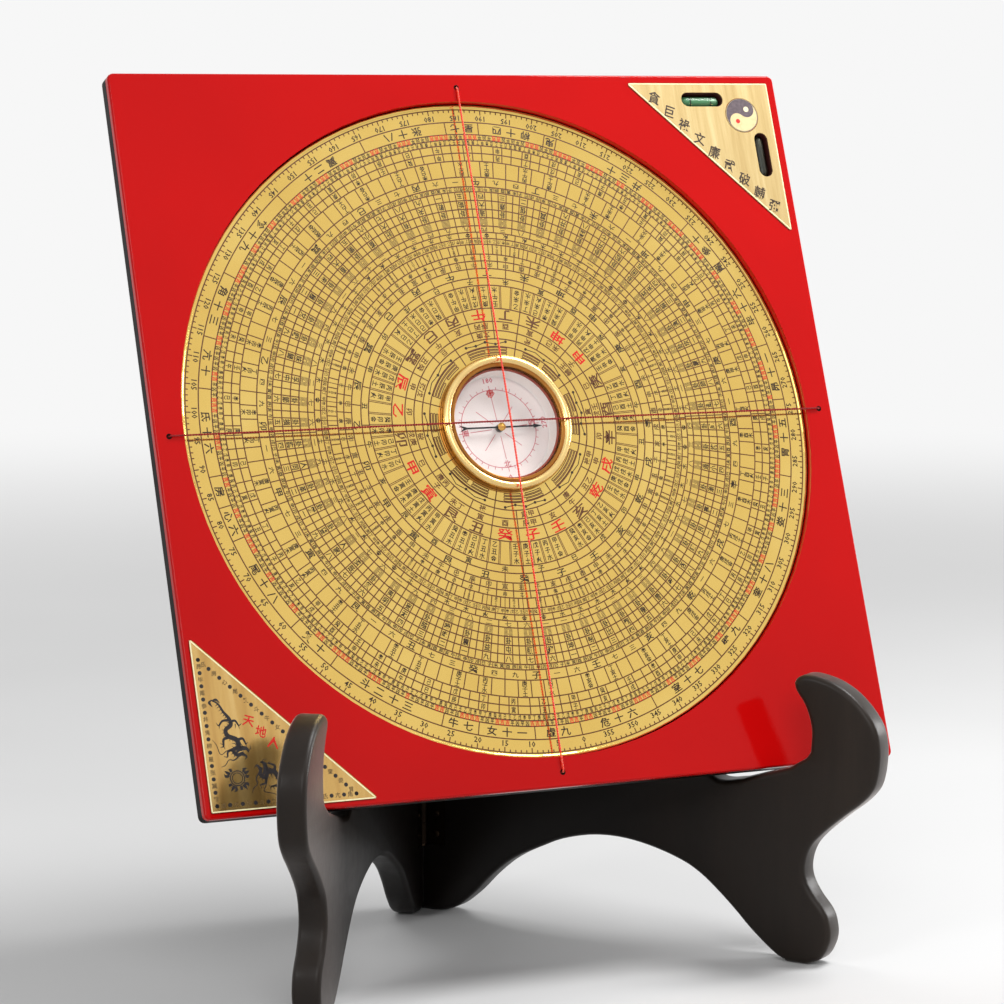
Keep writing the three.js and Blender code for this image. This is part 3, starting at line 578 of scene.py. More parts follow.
def wing_outline(node, side):
    """The outline of a wing's CAD mesh from the top of its fold round the hook to its foot."""
    mesh = nodes[node].data
    places = np.empty(len(mesh.vertices) * 3)
    mesh.vertices.foreach_get("co", places)
    back = np.array(wing_frame(side).inverted())
    places = places.reshape(-1, 3) @ back[:3, :3].T + back[:3, 3]
    flat, through = places[:, [0, 2]], places[:, 1]
    # Points above each other share a key, on a grid of 0.002 mm
    keys = [tuple(key) for key in np.round(flat * 500).astype(int).tolist()]
    spots = dict(zip(keys, flat))
    level = abs(through - (WING_THICKNESS - CAD_ROUND)) < NEAR_LEVEL
    beside = {}
    for edge in mesh.edges:
        a, b = edge.vertices
        if level[a] and level[b] and keys[a] != keys[b]:
            beside.setdefault(keys[a], set()).add(keys[b])
            beside.setdefault(keys[b], set()).add(keys[a])
    near = [key for key in beside if spots[key][0] < FOLD_SIDE]
    top = max(near, key=lambda key: key[1])
    walk, last = [top], None
    while not (len(walk) > 2 and walk[-1] in near):
        onward = [
            key for key in beside[walk[-1]]
            if key != last and not (key in near and len(walk) == 1)]
        last = walk[-1]
        walk.append(max(onward, key=lambda key: key[0]))
    crown = {
        key: spots[key] for key, low in zip(keys, abs(through - CAD_ROUND) < NEAR_LEVEL)
        if low and spots[key][0] < spots[top][0] + 0.2 and spots[key][1] > CROWN_FOOT}
    crown = sorted(crown.values(), key=lambda spot: spot[0])
    slope = (crown[1][1] - crown[0][1]) / (crown[1][0] - crown[0][0])
    start = (PAST_FOLD, crown[0][1] + slope * (PAST_FOLD - crown[0][0]))
    return np.array([start, *crown, *(spots[key] for key in walk[1:-1]), (PAST_FOLD, 0)])


def refined(outline):
    """A closed outline whose curves get points between, with corners and long lines kept."""
    count = len(outline)
    after = np.roll(outline, -1, 0)
    length = np.hypot(*(after - outline).T)
    heading = (after - outline) / length[:, None]
    turn = np.degrees(np.arccos(np.clip((heading * np.roll(heading, 1, 0)).sum(1), -1, 1)))
    floor_line = (outline[:, 1] < 0.01) & (after[:, 1] < 0.01)
    long = (length > LONG_LINE) | floor_line
    corner = (turn > SHARP_CORNER) | (floor_line != np.roll(floor_line, 1))
    tangents = []
    for i in range(count):
        arriving, leaving = heading[i - 1], heading[i]
        if not corner[i]:
            if long[i - 1] or long[i]:
                mean = arriving if long[i - 1] else leaving
            else:
                mean = arriving * length[i] + leaving * length[i - 1]
                mean /= np.hypot(*mean)
            arriving = leaving = mean
        tangents.append((arriving, leaving))
    made = []
    for i in range(count):
        j = (i + 1) % count
        start, end = tangents[i][1], tangents[j][0]
        bend = math.degrees(math.acos(min(1, float(start @ end))))
        steps = 1 if long[i] else max(1, min(MOST_STEPS, math.ceil(bend / BEND_STEP)))
        for t in np.arange(steps) / steps:
            made.append(
                outline[i] * (2 * t ** 3 - 3 * t * t + 1) + outline[j] * (3 * t * t - 2 * t ** 3)
                + start * length[i] * (t ** 3 - 2 * t * t + t) + end * length[i] * (t ** 3 - t * t))
    return np.clip(made, outline.min(0), outline.max(0))


def inset(outline, depth):
    """A closed outline that runs clockwise, moved inwards with mitred corners."""
    step = unit(np.roll(outline, -1, 0) - outline)
    inwards = np.column_stack([step[:, 1], -step[:, 0]])
    mean = inwards + np.roll(inwards, 1, 0)
    mean /= np.maximum((mean * inwards).sum(1), 0.2)[:, None]
    return outline + mean * depth


def rounded_slab(outline):
    """A slab with round edges over an outline in its along-and-up plane."""
    layers = [
        (WING_ROUND * (1 - math.sin(bend)) + ROUND_BULGE * math.sin(2 * bend),
         WING_ROUND * (1 - math.cos(bend)))
        for bend in np.radians(np.linspace(0, 90, 7))]
    layers += [(depth, WING_THICKNESS - level) for depth, level in reversed(layers)]
    count = len(outline)
    points = [raised(inset(outline, depth), level)[:, [0, 2, 1]] for depth, level in layers]
    faces = quads(len(layers), count)
    last = (len(layers) - 1) * count
    for triangle in tessellate_polygon([[Vector((*at, 0)) for at in inset(outline, WING_ROUND)]]):
        faces.append(tuple(triangle))
        faces.append(tuple(last + i for i in reversed(triangle)))
    return np.concatenate(points), faces


def block(low, high):
    """A box as points and faces."""
    points = [(x, y, z) for z in (low[2], high[2]) for y in (low[1], high[1])
              for x in (low[0], high[0])]
    return points, [
        (0, 2, 3, 1), (4, 5, 7, 6), (0, 1, 5, 4), (2, 6, 7, 3), (0, 4, 6, 2), (1, 3, 7, 5)]


def barrel_room(low, high, sides=32):
    """A rod on the fold's axis that a hinge's knuckles fit in."""
    points = [(x, y, z) for z in (low, high) for x, y in circle(sides) * BARREL_ROOM]
    return points, rod_faces(2, sides)


def solid(points, faces, matrix):
    """A closed mesh with its faces outwards."""
    mesh = bpy.data.meshes.new("scratch")
    mesh.from_pydata([matrix @ Vector(point) for point in points], [], faces)
    work = bmesh.new()
    work.from_mesh(mesh)
    bmesh.ops.recalc_face_normals(work, faces=work.faces)
    work.to_mesh(mesh)
    work.free()
    return mesh


def carve(mesh, tools):
    """A mesh less some closed tools."""
    carved = placed("carved", mesh)
    cutters = [placed("tool", tool) for tool in tools]
    for cutter in cutters:
        cut = carved.modifiers.new("cut", "BOOLEAN")
        cut.operation, cut.solver, cut.object = "DIFFERENCE", "EXACT", cutter
    graph = bpy.context.evaluated_depsgraph_get()
    result = bpy.data.meshes.new_from_object(carved.evaluated_get(graph))
    for used in (carved, *cutters):
        bpy.data.objects.remove(used)
    return result


def wing(node, side, body):
    """A wing cut at the fold, at its back and round the hinges."""
    matrix = wing_frame(side)
    stand = Matrix.Scale(MM, 4)
    stand.translation = matrix.translation
    reach, below = 300, -5
    left, right = (-reach, FOLD_GAP / 2) if side > 0 else (-FOLD_GAP / 2, reach)
    tools = [
        solid(*block((-reach, SPINE_BACK, below), (reach, reach, reach)), stand),
        solid(*block((left, -reach, below), (right, reach, reach)), stand)]
    for base in HINGE_BASES:
        top = base + HINGE_LENGTH
        tools.append(solid(*barrel_room(base - PIN_ROOM, top + PIN_ROOM), matrix))
        tools.append(solid(*block(
            (below, below, base - LEAF_ROOM), (LEAF_REACH, LEAF_DEPTH, top + LEAF_ROOM)), matrix))
    slab = solid(*rounded_slab(refined(wing_outline(node, side))), matrix)
    hand_over(node + "_fine", carve(slab, tools), "wood", body, node,
              WING_SMOOTH_BELOW)


wing("stand_right_wing", 1, "stand_right")
wing("stand_left_wing", -1, "stand_left")

# Screws in the hinge leaves, with a slot across each head

SCREW_REACH, SCREW_HEIGHTS, SCREW_RADIUS, LEAF_FACE = 6.5, (4.6, 13.0, 21.4), 1.35, 0.16
SLOT_HALF, SLOT_DIP, RIM_RISE, CROWN_RISE, CROWN_SHARE = 0.24, 0.22, 0.3, 0.55, 0.62


def screw(height, turn):
    """A domed head that faces the inside of the stand, with a dip between its two halves."""
    parts, steps = [], 9
    start = math.asin(SLOT_HALF / SCREW_RADIUS)
    for half in (1, -1):
        rim = directions(np.linspace(start, math.pi - start, steps)) * SCREW_RADIUS
        crown = rim * CROWN_SHARE
        crown[:, 1] = np.maximum(crown[:, 1], SLOT_HALF)
        rings = [raised(ring * half, rise) for ring, rise in (
            (rim, 0), (rim, RIM_RISE), (crown, CROWN_RISE))]
        cap = tuple(range(2 * steps, 3 * steps))
        parts.append((np.concatenate(rings), [*quads(3, steps), cap]))
    parts.append((raised(circle(24) * SCREW_RADIUS * 0.96, SLOT_DIP), [tuple(range(24))]))
    points, faces = merged(parts)
    flat = spun(points[:, :2], turn) + (SCREW_REACH, height)
    return raised(flat, 0)[:, [0, 2, 1]] + np.outer(LEAF_FACE - points[:, 2], (0, 1, 0)), faces


for side, end in ((1, "right"), (-1, "left")):
    heads = [
        screw(base + height, math.degrees(0.5 + 1.1 * i + side))
        for base in HINGE_BASES for i, height in enumerate(SCREW_HEIGHTS)]
    piece("hinge_screws_" + end, *merged(heads), "pin", "stand_" + end, "hinge_brass",
          matrix=wing_frame(side))


# Prints: flat marks and characters

EM_HEIGHT, DIGIT_HEIGHT, LETTER_WEIGHT = 0.92, 0.69, 0.018
LETTERS, PRINTS = {}, {}


def polar(radius, degrees):
    """The place on the board of a dial radius and dial angle."""
    angle = math.radians(NORTH_TURN + degrees)
    return np.array((radius * math.sin(angle), radius * math.cos(angle)))


def letter(character):
    """Points of a character about its middle, one unit high, and its faces."""
    if character not in LETTERS:
        curve = bpy.data.curves.new("letter", "FONT")
        curve.body = character
        curve.resolution_u = 1
        curve.offset = LETTER_WEIGHT
        drawn = bpy.data.objects.new("letter", curve)
        mesh = bpy.data.meshes.new_from_object(drawn)
        points = np.array([vertex.co[:2] for vertex in mesh.vertices])
        faces = [tuple(face.vertices) for face in mesh.polygons]
        bpy.data.objects.remove(drawn)
        bpy.data.meshes.remove(mesh)
        bpy.data.curves.remove(curve)
        if character.isascii():
            points -= (points.min(0) + points.max(0)) / 2
            points /= DIGIT_HEIGHT
        else:
            points = (np.clip(points, -0.15, 1.1) - (0.5, 0.38)) / EM_HEIGHT
        LETTERS[character] = (points, faces)
    return LETTERS[character]


class Print:
    """Flat marks of one ink on one level of the board."""

    def __init__(self, level):
        self.level = level
        self.parts = []

    def add(self, points, faces, lift=0.0):
        self.parts.append((raised(points, self.level + PRINT_LIFT + lift), faces))

    def band(self, inner, outer, start=0.0, sweep=360.0, about=(0, 0), steps=240):
        """An arc band about a point; the whole turn closes on itself."""
        count = steps if sweep == 360 else steps + 1
        angles = np.radians(NORTH_TURN + start + sweep * np.arange(count) / steps)
        ring = directions(angles)[:, ::-1]
        points = np.concatenate([ring * inner, ring * outer]) + np.array(about)
        self.add(points, quads(2, count)[:steps])

    def disc(self, radius, about, steps, lift):
        self.add(circle(steps) * radius + np.array(about), [tuple(range(steps))], lift)

    def stroke(self, start, end, width, end_width=None, lift=0.0):
        """A straight line from point to point."""
        start, end = np.array(start, float), np.array(end, float)
        along = end - start
        side = np.array((-along[1], along[0])) / np.hypot(*along) / 2
        near, far = side * width, side * (width if end_width is None else end_width)
        self.add([start - near, end - far, end + far, start + near], [(0, 1, 2, 3)], lift)

    def spoke(self, inner, outer, degrees, width):
        self.stroke(polar(inner, degrees), polar(outer, degrees), width, lift=0.01)

    def ribbon(self, points, widths, steps=6, lift=0.0):
        """A smooth mark of varying width along points."""
        line = spline(points, steps)
        width = np.interp(np.linspace(0, 1, len(line)), np.linspace(0, 1, len(widths)), widths)
        side = unit(np.gradient(line, axis=0)[:, ::-1] * (-1, 1)) * (width / 2)[:, None]
        self.add(np.concatenate([line - side, line + side]), quads(2, len(line))[:-1], lift)

    def glyph(self, character, about, height, turn=0.0, wide=1.0, lift=0.0):
        """A character at a place, turned counterclockwise in degrees."""
        points, faces = letter(character)
        self.add(spun(points * (height * wide, height), turn) + np.array(about), faces, lift)

    def on_ring(self, character, ring, degrees, height, wide=1.0):
        """A character midway between a ring's radii, or at a radius, its top inwards."""
        turn = 180 - NORTH_TURN - degrees
        self.glyph(character, polar(np.mean(ring), degrees), height, turn, wide, 0.02)

    def repeat(self, words, stride, ring, count, first, height, wide):
        """Characters evenly spaced on a ring, each a stride further on in the words."""
        for k in range(count):
            character = words[k * stride % len(words)]
            self.on_ring(character, ring, first + 360 * k / count, height, wide)

    def stack(self, word, inner, outer, degrees, height, wide):
        """A word written outwards from the centre in one narrow cell."""
        pitch = (outer - inner) / len(word)
        for i, character in enumerate(word):
            self.on_ring(character, inner + pitch * (i + 0.5), degrees, height, wide)

    def row(self, word, ring, degrees, height, pitch, wide=1.0):
        """A word along the ring, read with the centre above it."""
        for i, character in enumerate(word):
            turn = degrees + ((len(word) - 1) / 2 - i) * pitch
            self.on_ring(character, ring, turn, height, wide)


def prints(level, body, slot, **looks):
    """Prints on one level, each named after the piece that it becomes at the end."""
    made = [Print(level) for _ in looks]
    PRINTS.update((name, (ink, looks[name], body, slot)) for name, ink in zip(looks, made))
    return made


def spline(points, steps):
    """A smooth line through points, as Catmull and Rom drew it."""
    points = np.asarray(points, float)
    padded = np.concatenate([[2 * points[0] - points[1]], points, [2 * points[-1] - points[-2]]])
    line = []
    for p0, p1, p2, p3 in zip(padded, padded[1:], padded[2:], padded[3:]):
        for t in np.arange(steps) / steps:
            line.append(0.5 * (
                2 * p1 + (p2 - p0) * t + (2 * p0 - 5 * p1 + 4 * p2 - p3) * t * t
                + (3 * p1 - p0 - 3 * p2 + p3) * t ** 3))
    return np.array(line + [points[-1]])


# Characters of the dial

MOUNTAINS = "子癸丑艮寅甲卯乙辰巽巳丙午丁未坤申庚酉辛戌乾亥壬"
RED_MOUNTAINS = "乾甲坤乙壬子癸寅午戌申辰"
STEMS = "甲乙丙丁戊己庚辛壬癸"
BRANCHES = "子丑寅卯辰巳午未申酉戌亥"
PAIR_ELEMENTS = "金火木土金火水土金木水土火木水金火木土金火水土金木水土火木水"
MANSIONS = "虚女牛斗箕尾心房氐亢角轸翼张星柳鬼井参觜毕昴胃娄奎壁室危"
MANSION_DAYS = (
    9.25, 11, 7, 22.75, 9.5, 18, 6.25, 5.75, 16.25, 9.75, 12.75, 18.75, 20.25, 17.75,
    6.75, 13.5, 2.5, 30.25, 9.5, 1.5, 16.5, 11, 15.25, 12.75, 18, 9, 17, 16)
HEXAGRAMS = (
    "坤 剝 比 觀 豫 晉 萃 否 謙 艮 蹇 漸 小過 旅 咸 遯 師 蒙 坎 渙 解 未濟 困 訟 升 蠱 井 巽 恆 鼎 大過 姤 "
    "復 頤 屯 益 震 噬嗑 隨 无妄 明夷 賁 既濟 家人 豐 離 革 同人 臨 損 節 中孚 歸妹 睽 兌 履 "
    "泰 大畜 需 小畜 大壯 大有 夬 乾").split()
UPPER_NUMBERS = "一六七二八三四九"
DIGITS = "一二三四五六七八九"
STARS = "貪巨祿文廉武破輔弼"


def cycle_word(stem, branch):
    """Stem, branch and element of a pair in the cycle of sixty, both counted from 0."""
    pair = next(n for n in range(60) if n % 10 == stem and n % 12 == branch)
    return STEMS[stem] + BRANCHES[branch] + PAIR_ELEMENTS[pair // 2]


def numeral(value):
    """A whole number below 100 in Chinese figures."""
    tens, ones = divmod(value, 10)
    word = "" if tens == 0 else "十" if tens == 1 else DIGITS[tens - 1] + "十"
    return word + (DIGITS[ones - 1] if ones else "")


# Dial print: each ring is an inner and an outer radius, from the scale at the rim inwards

lines, script, faint, red = prints(
    DIAL_TOP, "dial", "dial_gold", dial_print_lines="line_ink", dial_print_script="dark_ink",
    dial_print_faint="grey_ink", dial_print_red="red_ink")

RING_LINES = (
    129.2, 124.0, 118.9, 116.7, 114.4, 111.1, 107.8, 101.1, 97.1, 95.0, 91.4, 87.8, 84.4,
    80.9, 78.25, 75.75, 73.25, 69.2, 66.4, 63.25, 59.5, 56.4, 47.0, 41.6, 37.9, 34.5, 31.4)
(SCALE, MANSION, LUCK, DAY, SIXTY_BRANCH, SIXTY_STEM, GOLD, HEAVEN, HOUR, NUMBER, NAME,
 SECOND_NAME, FIGURE, UPPER, ELEMENT, MINUTE, INNER_GOLD, INNER_STEM, INNER_BRANCH, MAN,
 MAN_BRANCH, SEVENTY_TWO, EARTH, EARTH_PAIR, EARTH_STAR, STAR) = zip(RING_LINES[1:], RING_LINES)
RING_WIDTH, CELL_WIDTH, FINE_WIDTH = 0.48, 0.42, 0.28
MOUNTAIN, HALF_MOUNTAIN = 15, 7.5
for radius in RING_LINES:
    lines.band(radius - RING_WIDTH / 2, radius + RING_WIDTH / 2, steps=240 if radius > 60 else 144)


def bar(whole, half, part):
    """The arcs of a bar as (start, sweep), whole or in two parts."""
    return ((-half, 2 * half),) if whole else ((-half, part), (half - part, part))


def cells(inner, outer, count, first=0.0, width=CELL_WIDTH):
    for i in range(count):
        lines.spoke(inner, outer, first + 360 * i / count, width)


# Rings that run through the stems, the branches or the mountains
script.repeat(STEMS, 7, DAY, 360, 0, 1.9, 0.6)
script.repeat(BRANCHES, 5, HOUR, 240, 0.75, 1.5, 1.1)
faint.repeat(STEMS, 3, MINUTE, 240, 0.75, 1.5, 0.95)
script.repeat(STEMS, 1, INNER_STEM, 60, 3, 1.5, 1.1)
faint.repeat(BRANCHES, 1, 64.8, 60, 3, 2.2, 1.1)
script.repeat(MOUNTAINS, 1, 61.4, 24, -HALF_MOUNTAIN, 2.9, 1.3)
script.repeat(BRANCHES, 7, MAN_BRANCH, 24, 0, 2.3, 1.1)
cells(*HOUR, 120, width=FINE_WIDTH)
cells(*MINUTE, 120, width=FINE_WIDTH)
cells(INNER_BRANCH[0], INNER_STEM[1], 60)
cells(*MAN, 24)
cells(*MAN_BRANCH, 24, HALF_MOUNTAIN)

# Degrees, with a number at each fifth, over lucky, unlucky and even marks
for degree in range(360):
    fifth = degree % 5 == 0
    lines.spoke(SCALE[1] - (2.0 if fifth else 1.15), SCALE[1], degree, CELL_WIDTH)
    if fifth:
        script.row(str(degree), 125.75, degree, 2.1, 0.72)
    lucky = (degree + degree // 17) % 7 < 2 + degree // 9 % 3
    if lucky:
        red.on_ring("吉", LUCK, degree + 0.5, 2.15, 0.84)
    else:
        script.on_ring("凶平"[degree % 2], LUCK, degree + 0.5, 2.15, 0.66)

# Lunar mansions in cells of uneven width
turn = 0.0
for name, days in zip(MANSIONS, MANSION_DAYS):
    sweep = days * 360 / sum(MANSION_DAYS)
    lines.spoke(*MANSION, turn, CELL_WIDTH)
    word = name + numeral(round(days)) if sweep > 6 else name
    if sweep > 1.4:
        pitch = min(2.9, sweep / (len(word) + 0.4))
        script.row(word, MANSION, turn + sweep / 2, 3.5, pitch, 1.1)
    turn += sweep

# Sixty dragons on two rings, and the elements of the cycle of sixty
for n in range(60):
    at = n * 6 + 1.6 * math.sin(math.radians(n * 24))
    for ring, word in ((SIXTY_BRANCH, BRANCHES[n % 12]), (SIXTY_STEM, STEMS[n % 10])):
        script.on_ring(word, ring, at, 2.3, 0.75)
        for side in (0.95, -0.95, 3):
            lines.spoke(*ring, at + side, CELL_WIDTH)
    script.on_ring(PAIR_ELEMENTS[n // 2], ELEMENT, n * 6 + 3, 1.9, 1.1)
cells(*ELEMENT, 60)
cells(INNER_BRANCH[0], ELEMENT[1], 60, 3.0, FINE_WIDTH)

# Gold divisions: five cells to each mountain, words in the second and the fourth
for (inner, outer), shift, ink, wide in (
        (GOLD, 0.0, script, 1.0), (INNER_GOLD, -HALF_MOUNTAIN, faint, 0.85)):
    cells(inner, outer, 120, shift + MOUNTAIN)
    for m in range(24):
        for c, stem in ((1, 2), (3, 6)):
            word = cycle_word((stem + m // 2 % 2) % 10, m // 2 % 12)
            ink.stack(word, inner + 0.3, outer - 0.3, MOUNTAIN * m + shift + 3 * c + 1.5,
                      (outer - inner) / 3.3, wide)

# Heaven mountains with a small character on each side, five degrees apart
for k in range(72):
    main = k % 3 == 1
    word = MOUNTAINS[k // 3] if main else DIGITS[k * 4 % 9]
    script.on_ring(word, HEAVEN, k * 5 + 2.5, 3.0 if main else 2.1, 1.15)
cells(*HEAVEN, 72)

# Sixty-four figures with their names and numbers
for cell in range(64):
    at = (cell + 0.5) * 5.625
    number = 32 + cell if cell < 32 else 63 - cell
    name = HEXAGRAMS[number]
    script.on_ring(DIGITS[number % 9], NUMBER, at, 2.3, 1.0)
    script.on_ring(name[0], NAME, at, 2.7, 0.85)
    script.on_ring(name[-1] if len(name) > 1 else "卦", SECOND_NAME, at, 2.6, 0.85)
    faint.on_ring(UPPER_NUMBERS[number % 8], 79.6, at, 2.1, 1.25)
    for row in range(6):
        radius = FIGURE[0] + 0.55 + 0.5 * row
        for start, sweep in bar(number >> (5 - row) & 1, 1.2, 1.0):
            faint.band(radius - 0.13, radius + 0.13, at + start, sweep, steps=2)
    for side in (-1.05, 1.05):
        lines.spoke(SECOND_NAME[0], NUMBER[0], at + side, CELL_WIDTH)
        lines.spoke(*NUMBER, at + side, CELL_WIDTH)
cells(UPPER[0], NUMBER[1], 64)

# Seventy-two dragons, one in six left blank
for at in range(0, 360, 5):
    for side in (-2.2, 2.2):
        lines.spoke(*SEVENTY_TWO, at + side, FINE_WIDTH)
    if at % 30 != 15:
        branch = round(at / 30)
        place = (at - 30 * branch) // 5 + 2
        word = cycle_word((2 * place + branch % 2) % 10, branch % 12)
        script.stack(word, SEVENTY_TWO[0] + 0.3, SEVENTY_TWO[1] - 0.3, at, 2.35, 0.9)

# Earth mountains, the main ring
for k, name in enumerate(MOUNTAINS):
    at = MOUNTAIN * k
    (red if name in RED_MOUNTAINS else lines).on_ring(name, EARTH, at, 4.5, 1.3)
    pair = BRANCHES[(k * 5 + 4) % 12] + (STEMS[k % 10] if k % 3 == 0 else "")
    lines.row(pair, EARTH_PAIR, at, 2.5, 4.6, 1.1)
    if k % 2 == 0:
        pair = STARS[k % 9] + (STEMS[k * 3 % 10] if k % 4 == 0 else "")
        lines.row(pair, EARTH_STAR, at, 2.4, 4.8, 1.1)
cells(EARTH_STAR[0], EARTH[1], 24, HALF_MOUNTAIN)

# Star figures and the eight trigrams, north, north-east and so on
TRIGRAMS = ((0, 1, 0), (0, 0, 1), (1, 0, 0), (0, 1, 1), (1, 0, 1), (0, 0, 0), (1, 1, 0), (1, 1, 1))
BAR_HALF, BAR_LINE = 0.36, 0.17
for k, rows in enumerate(TRIGRAMS):
    at = 45 * k
    bend = 0.55 if k % 2 else -0.55
    chain = [
        polar(32.9 + bend * (i % 2 * 2 - 1) * (0.4 + 0.2 * i), at - 15 + 7.5 * i)
        for i in range(5)]
    for start, end in zip(chain, chain[1:]):
        script.stroke(start, end, 0.34)
    for star in chain[:: 2 if k % 2 else 1]:
        script.disc(0.58, star, 10, 0.01)
    for row, whole in enumerate(rows):
        radius = 28.35 + 1.15 * row
        for start, sweep in bar(whole, 16, 14):
            for edge in (radius - BAR_HALF, radius + BAR_HALF):
                lines.band(edge - BAR_LINE, edge + BAR_LINE, at + start, sweep, steps=10)
            for end in (start, start + sweep):
                lines.spoke(radius - BAR_HALF, radius + BAR_HALF, at + end, 0.32)
cells(27.3, STAR[1], 8, 22.5)

# Capsule card

card, card_red = prints(
    CARD_TOP, "dial", "card_white", card_print_pink="pink_ink", card_print_red="red_ink")
CARD_CIRCLE, CARD_NAMES, CARD_FIGURES, CARD_LINE = 15.7, 14.3, 19.6, 0.24
card.band(CARD_CIRCLE - 0.14, CARD_CIRCLE + 0.14, steps=120)
for degree in range(0, 360, 10):
    card.spoke(CARD_CIRCLE, CARD_CIRCLE + (1.1 if degree % 30 else 1.7), degree, CARD_LINE)
for k in range(8):
    card.spoke(3.0, 11.2 if k % 2 else 12.4, k * 45, CARD_LINE)
for degree in (0, 90, 180, 270):
    over = 180 if degree == 180 else 0
    for i, figure in enumerate(str(degree)):
        shift = ((len(str(degree)) - 1) / 2 - i) * (-4.6 if over else 4.6)
        card.glyph(figure, polar(CARD_FIGURES, degree + shift), 1.9,
                   180 - NORTH_TURN - degree + over, 1.1, 0.02)
for degree, name in ((0, "北"), (90, "東"), (270, "西")):
    card.on_ring(name, CARD_NAMES, degree, 2.7)
south = polar(CARD_NAMES, 180)
card_red.glyph("南", south, 2.8, 180 - NORTH_TURN, 1.0, 0.03)
card_red.band(1.55, 1.95, about=south, steps=4)

# Emblem: two commas in a circle

EMBLEM_AT, EMBLEM_RADIUS, EMBLEM_TURN = np.array((125.5, 125.5)), 6.9, 48.0
emblem, emblem_eye, emblem_red = prints(
    EMBLEM_TOP, "board", "enamel", emblem_print_dark="emblem_dark",
    emblem_print_eye="pale_ink", emblem_print_red="red_ink")
half = EMBLEM_RADIUS / 2
head, tail = ellipse(EMBLEM_AT, half, EMBLEM_TURN, EMBLEM_TURN + 180, 2)
comma = np.concatenate([
    ellipse(EMBLEM_AT, EMBLEM_RADIUS, EMBLEM_TURN, EMBLEM_TURN + 180, 40),
    ellipse(tail, half, EMBLEM_TURN + 180, EMBLEM_TURN, 24)[1:],
    ellipse(head, half, EMBLEM_TURN + 180, EMBLEM_TURN + 360, 24)[1:-1]])
emblem.add(comma, [tuple(range(len(comma)))])
emblem.band(EMBLEM_RADIUS - 0.02, EMBLEM_RADIUS + 0.18, about=EMBLEM_AT, steps=48)
emblem_eye.disc(1.15, head, 20, 0.02)
emblem_red.disc(0.95, tail, 20, 0.02)

# Corner plates: a pale edge on both, nine star names along the level plate's slant

PLATE_FAR, PLATE_LEG = 139.4, 64.4
ORNAMENT_CORNER, ORNAMENT_LEG = np.array((-140.3, -140.8)), 64.7
BORDER_INSET, BORDER_WIDTH = 0.3, 0.5
FIRST_NAME, NAME_PITCH = np.array((86.6, 133.0)), 8.27
pale, plate, ornament, ornament_faint, ornament_red = prints(
    PLATE_TOP, "board", "brushed_brass", plate_edges_pale="pale_ink",
    level_plate_script="dark_ink", ornament_print_black="black_ink",
    ornament_print_faint="grey_ink", ornament_print_red="red_ink")


def border(corner, leg, turn):
    """A strip along a plate's three edges; turn is 1 where the square corner points up right."""
    far = leg - BORDER_INSET - BORDER_INSET * (1 + math.sqrt(2))
    tips = np.array([(BORDER_INSET, BORDER_INSET), (far, BORDER_INSET), (BORDER_INSET, far)])
    for start, end in zip(tips, np.roll(tips, -1, 0)):
        pale.stroke(corner - turn * start, corner - turn * end, BORDER_WIDTH)


border(np.array((PLATE_FAR, PLATE_FAR)), PLATE_LEG, 1)
border(ORNAMENT_CORNER, ORNAMENT_LEG, -1)
for i, name in enumerate(STARS):
    at = FIRST_NAME + np.array((1, -1)) / math.sqrt(2) * NAME_PITCH * i
    plate.glyph(name, at, 5.2, -20, 0.9)

# Ornament plate: dots round the edge, two dragons after a pearl, three red words

DOT_NEAR, DOT_FAR, LEG_DOTS, SLANT_DOTS = 2.45, 56.35, 11, 15


def on_plate(a, b):
    """A place on the ornament plate, from its square corner."""
    return ORNAMENT_CORNER + (a, b)


corner, along_foot, up_side = (DOT_NEAR, DOT_NEAR), (DOT_FAR, DOT_NEAR), (DOT_NEAR, DOT_FAR)
for line, (start, end, count) in enumerate((
        (corner, along_foot, LEG_DOTS), (corner, up_side, LEG_DOTS),
        (along_foot, up_side, SLANT_DOTS))):
    places = [on_plate(*at) for at in np.linspace(start, end, 2 * count + 1)]
    for at in places[::2]:
        ornament.disc(0.78, at, 12, 0.01)
    for i, at in enumerate(places[1::2]):
        ornament_faint.glyph(MANSIONS[(line * 11 + i) % 28], at, 1.9)

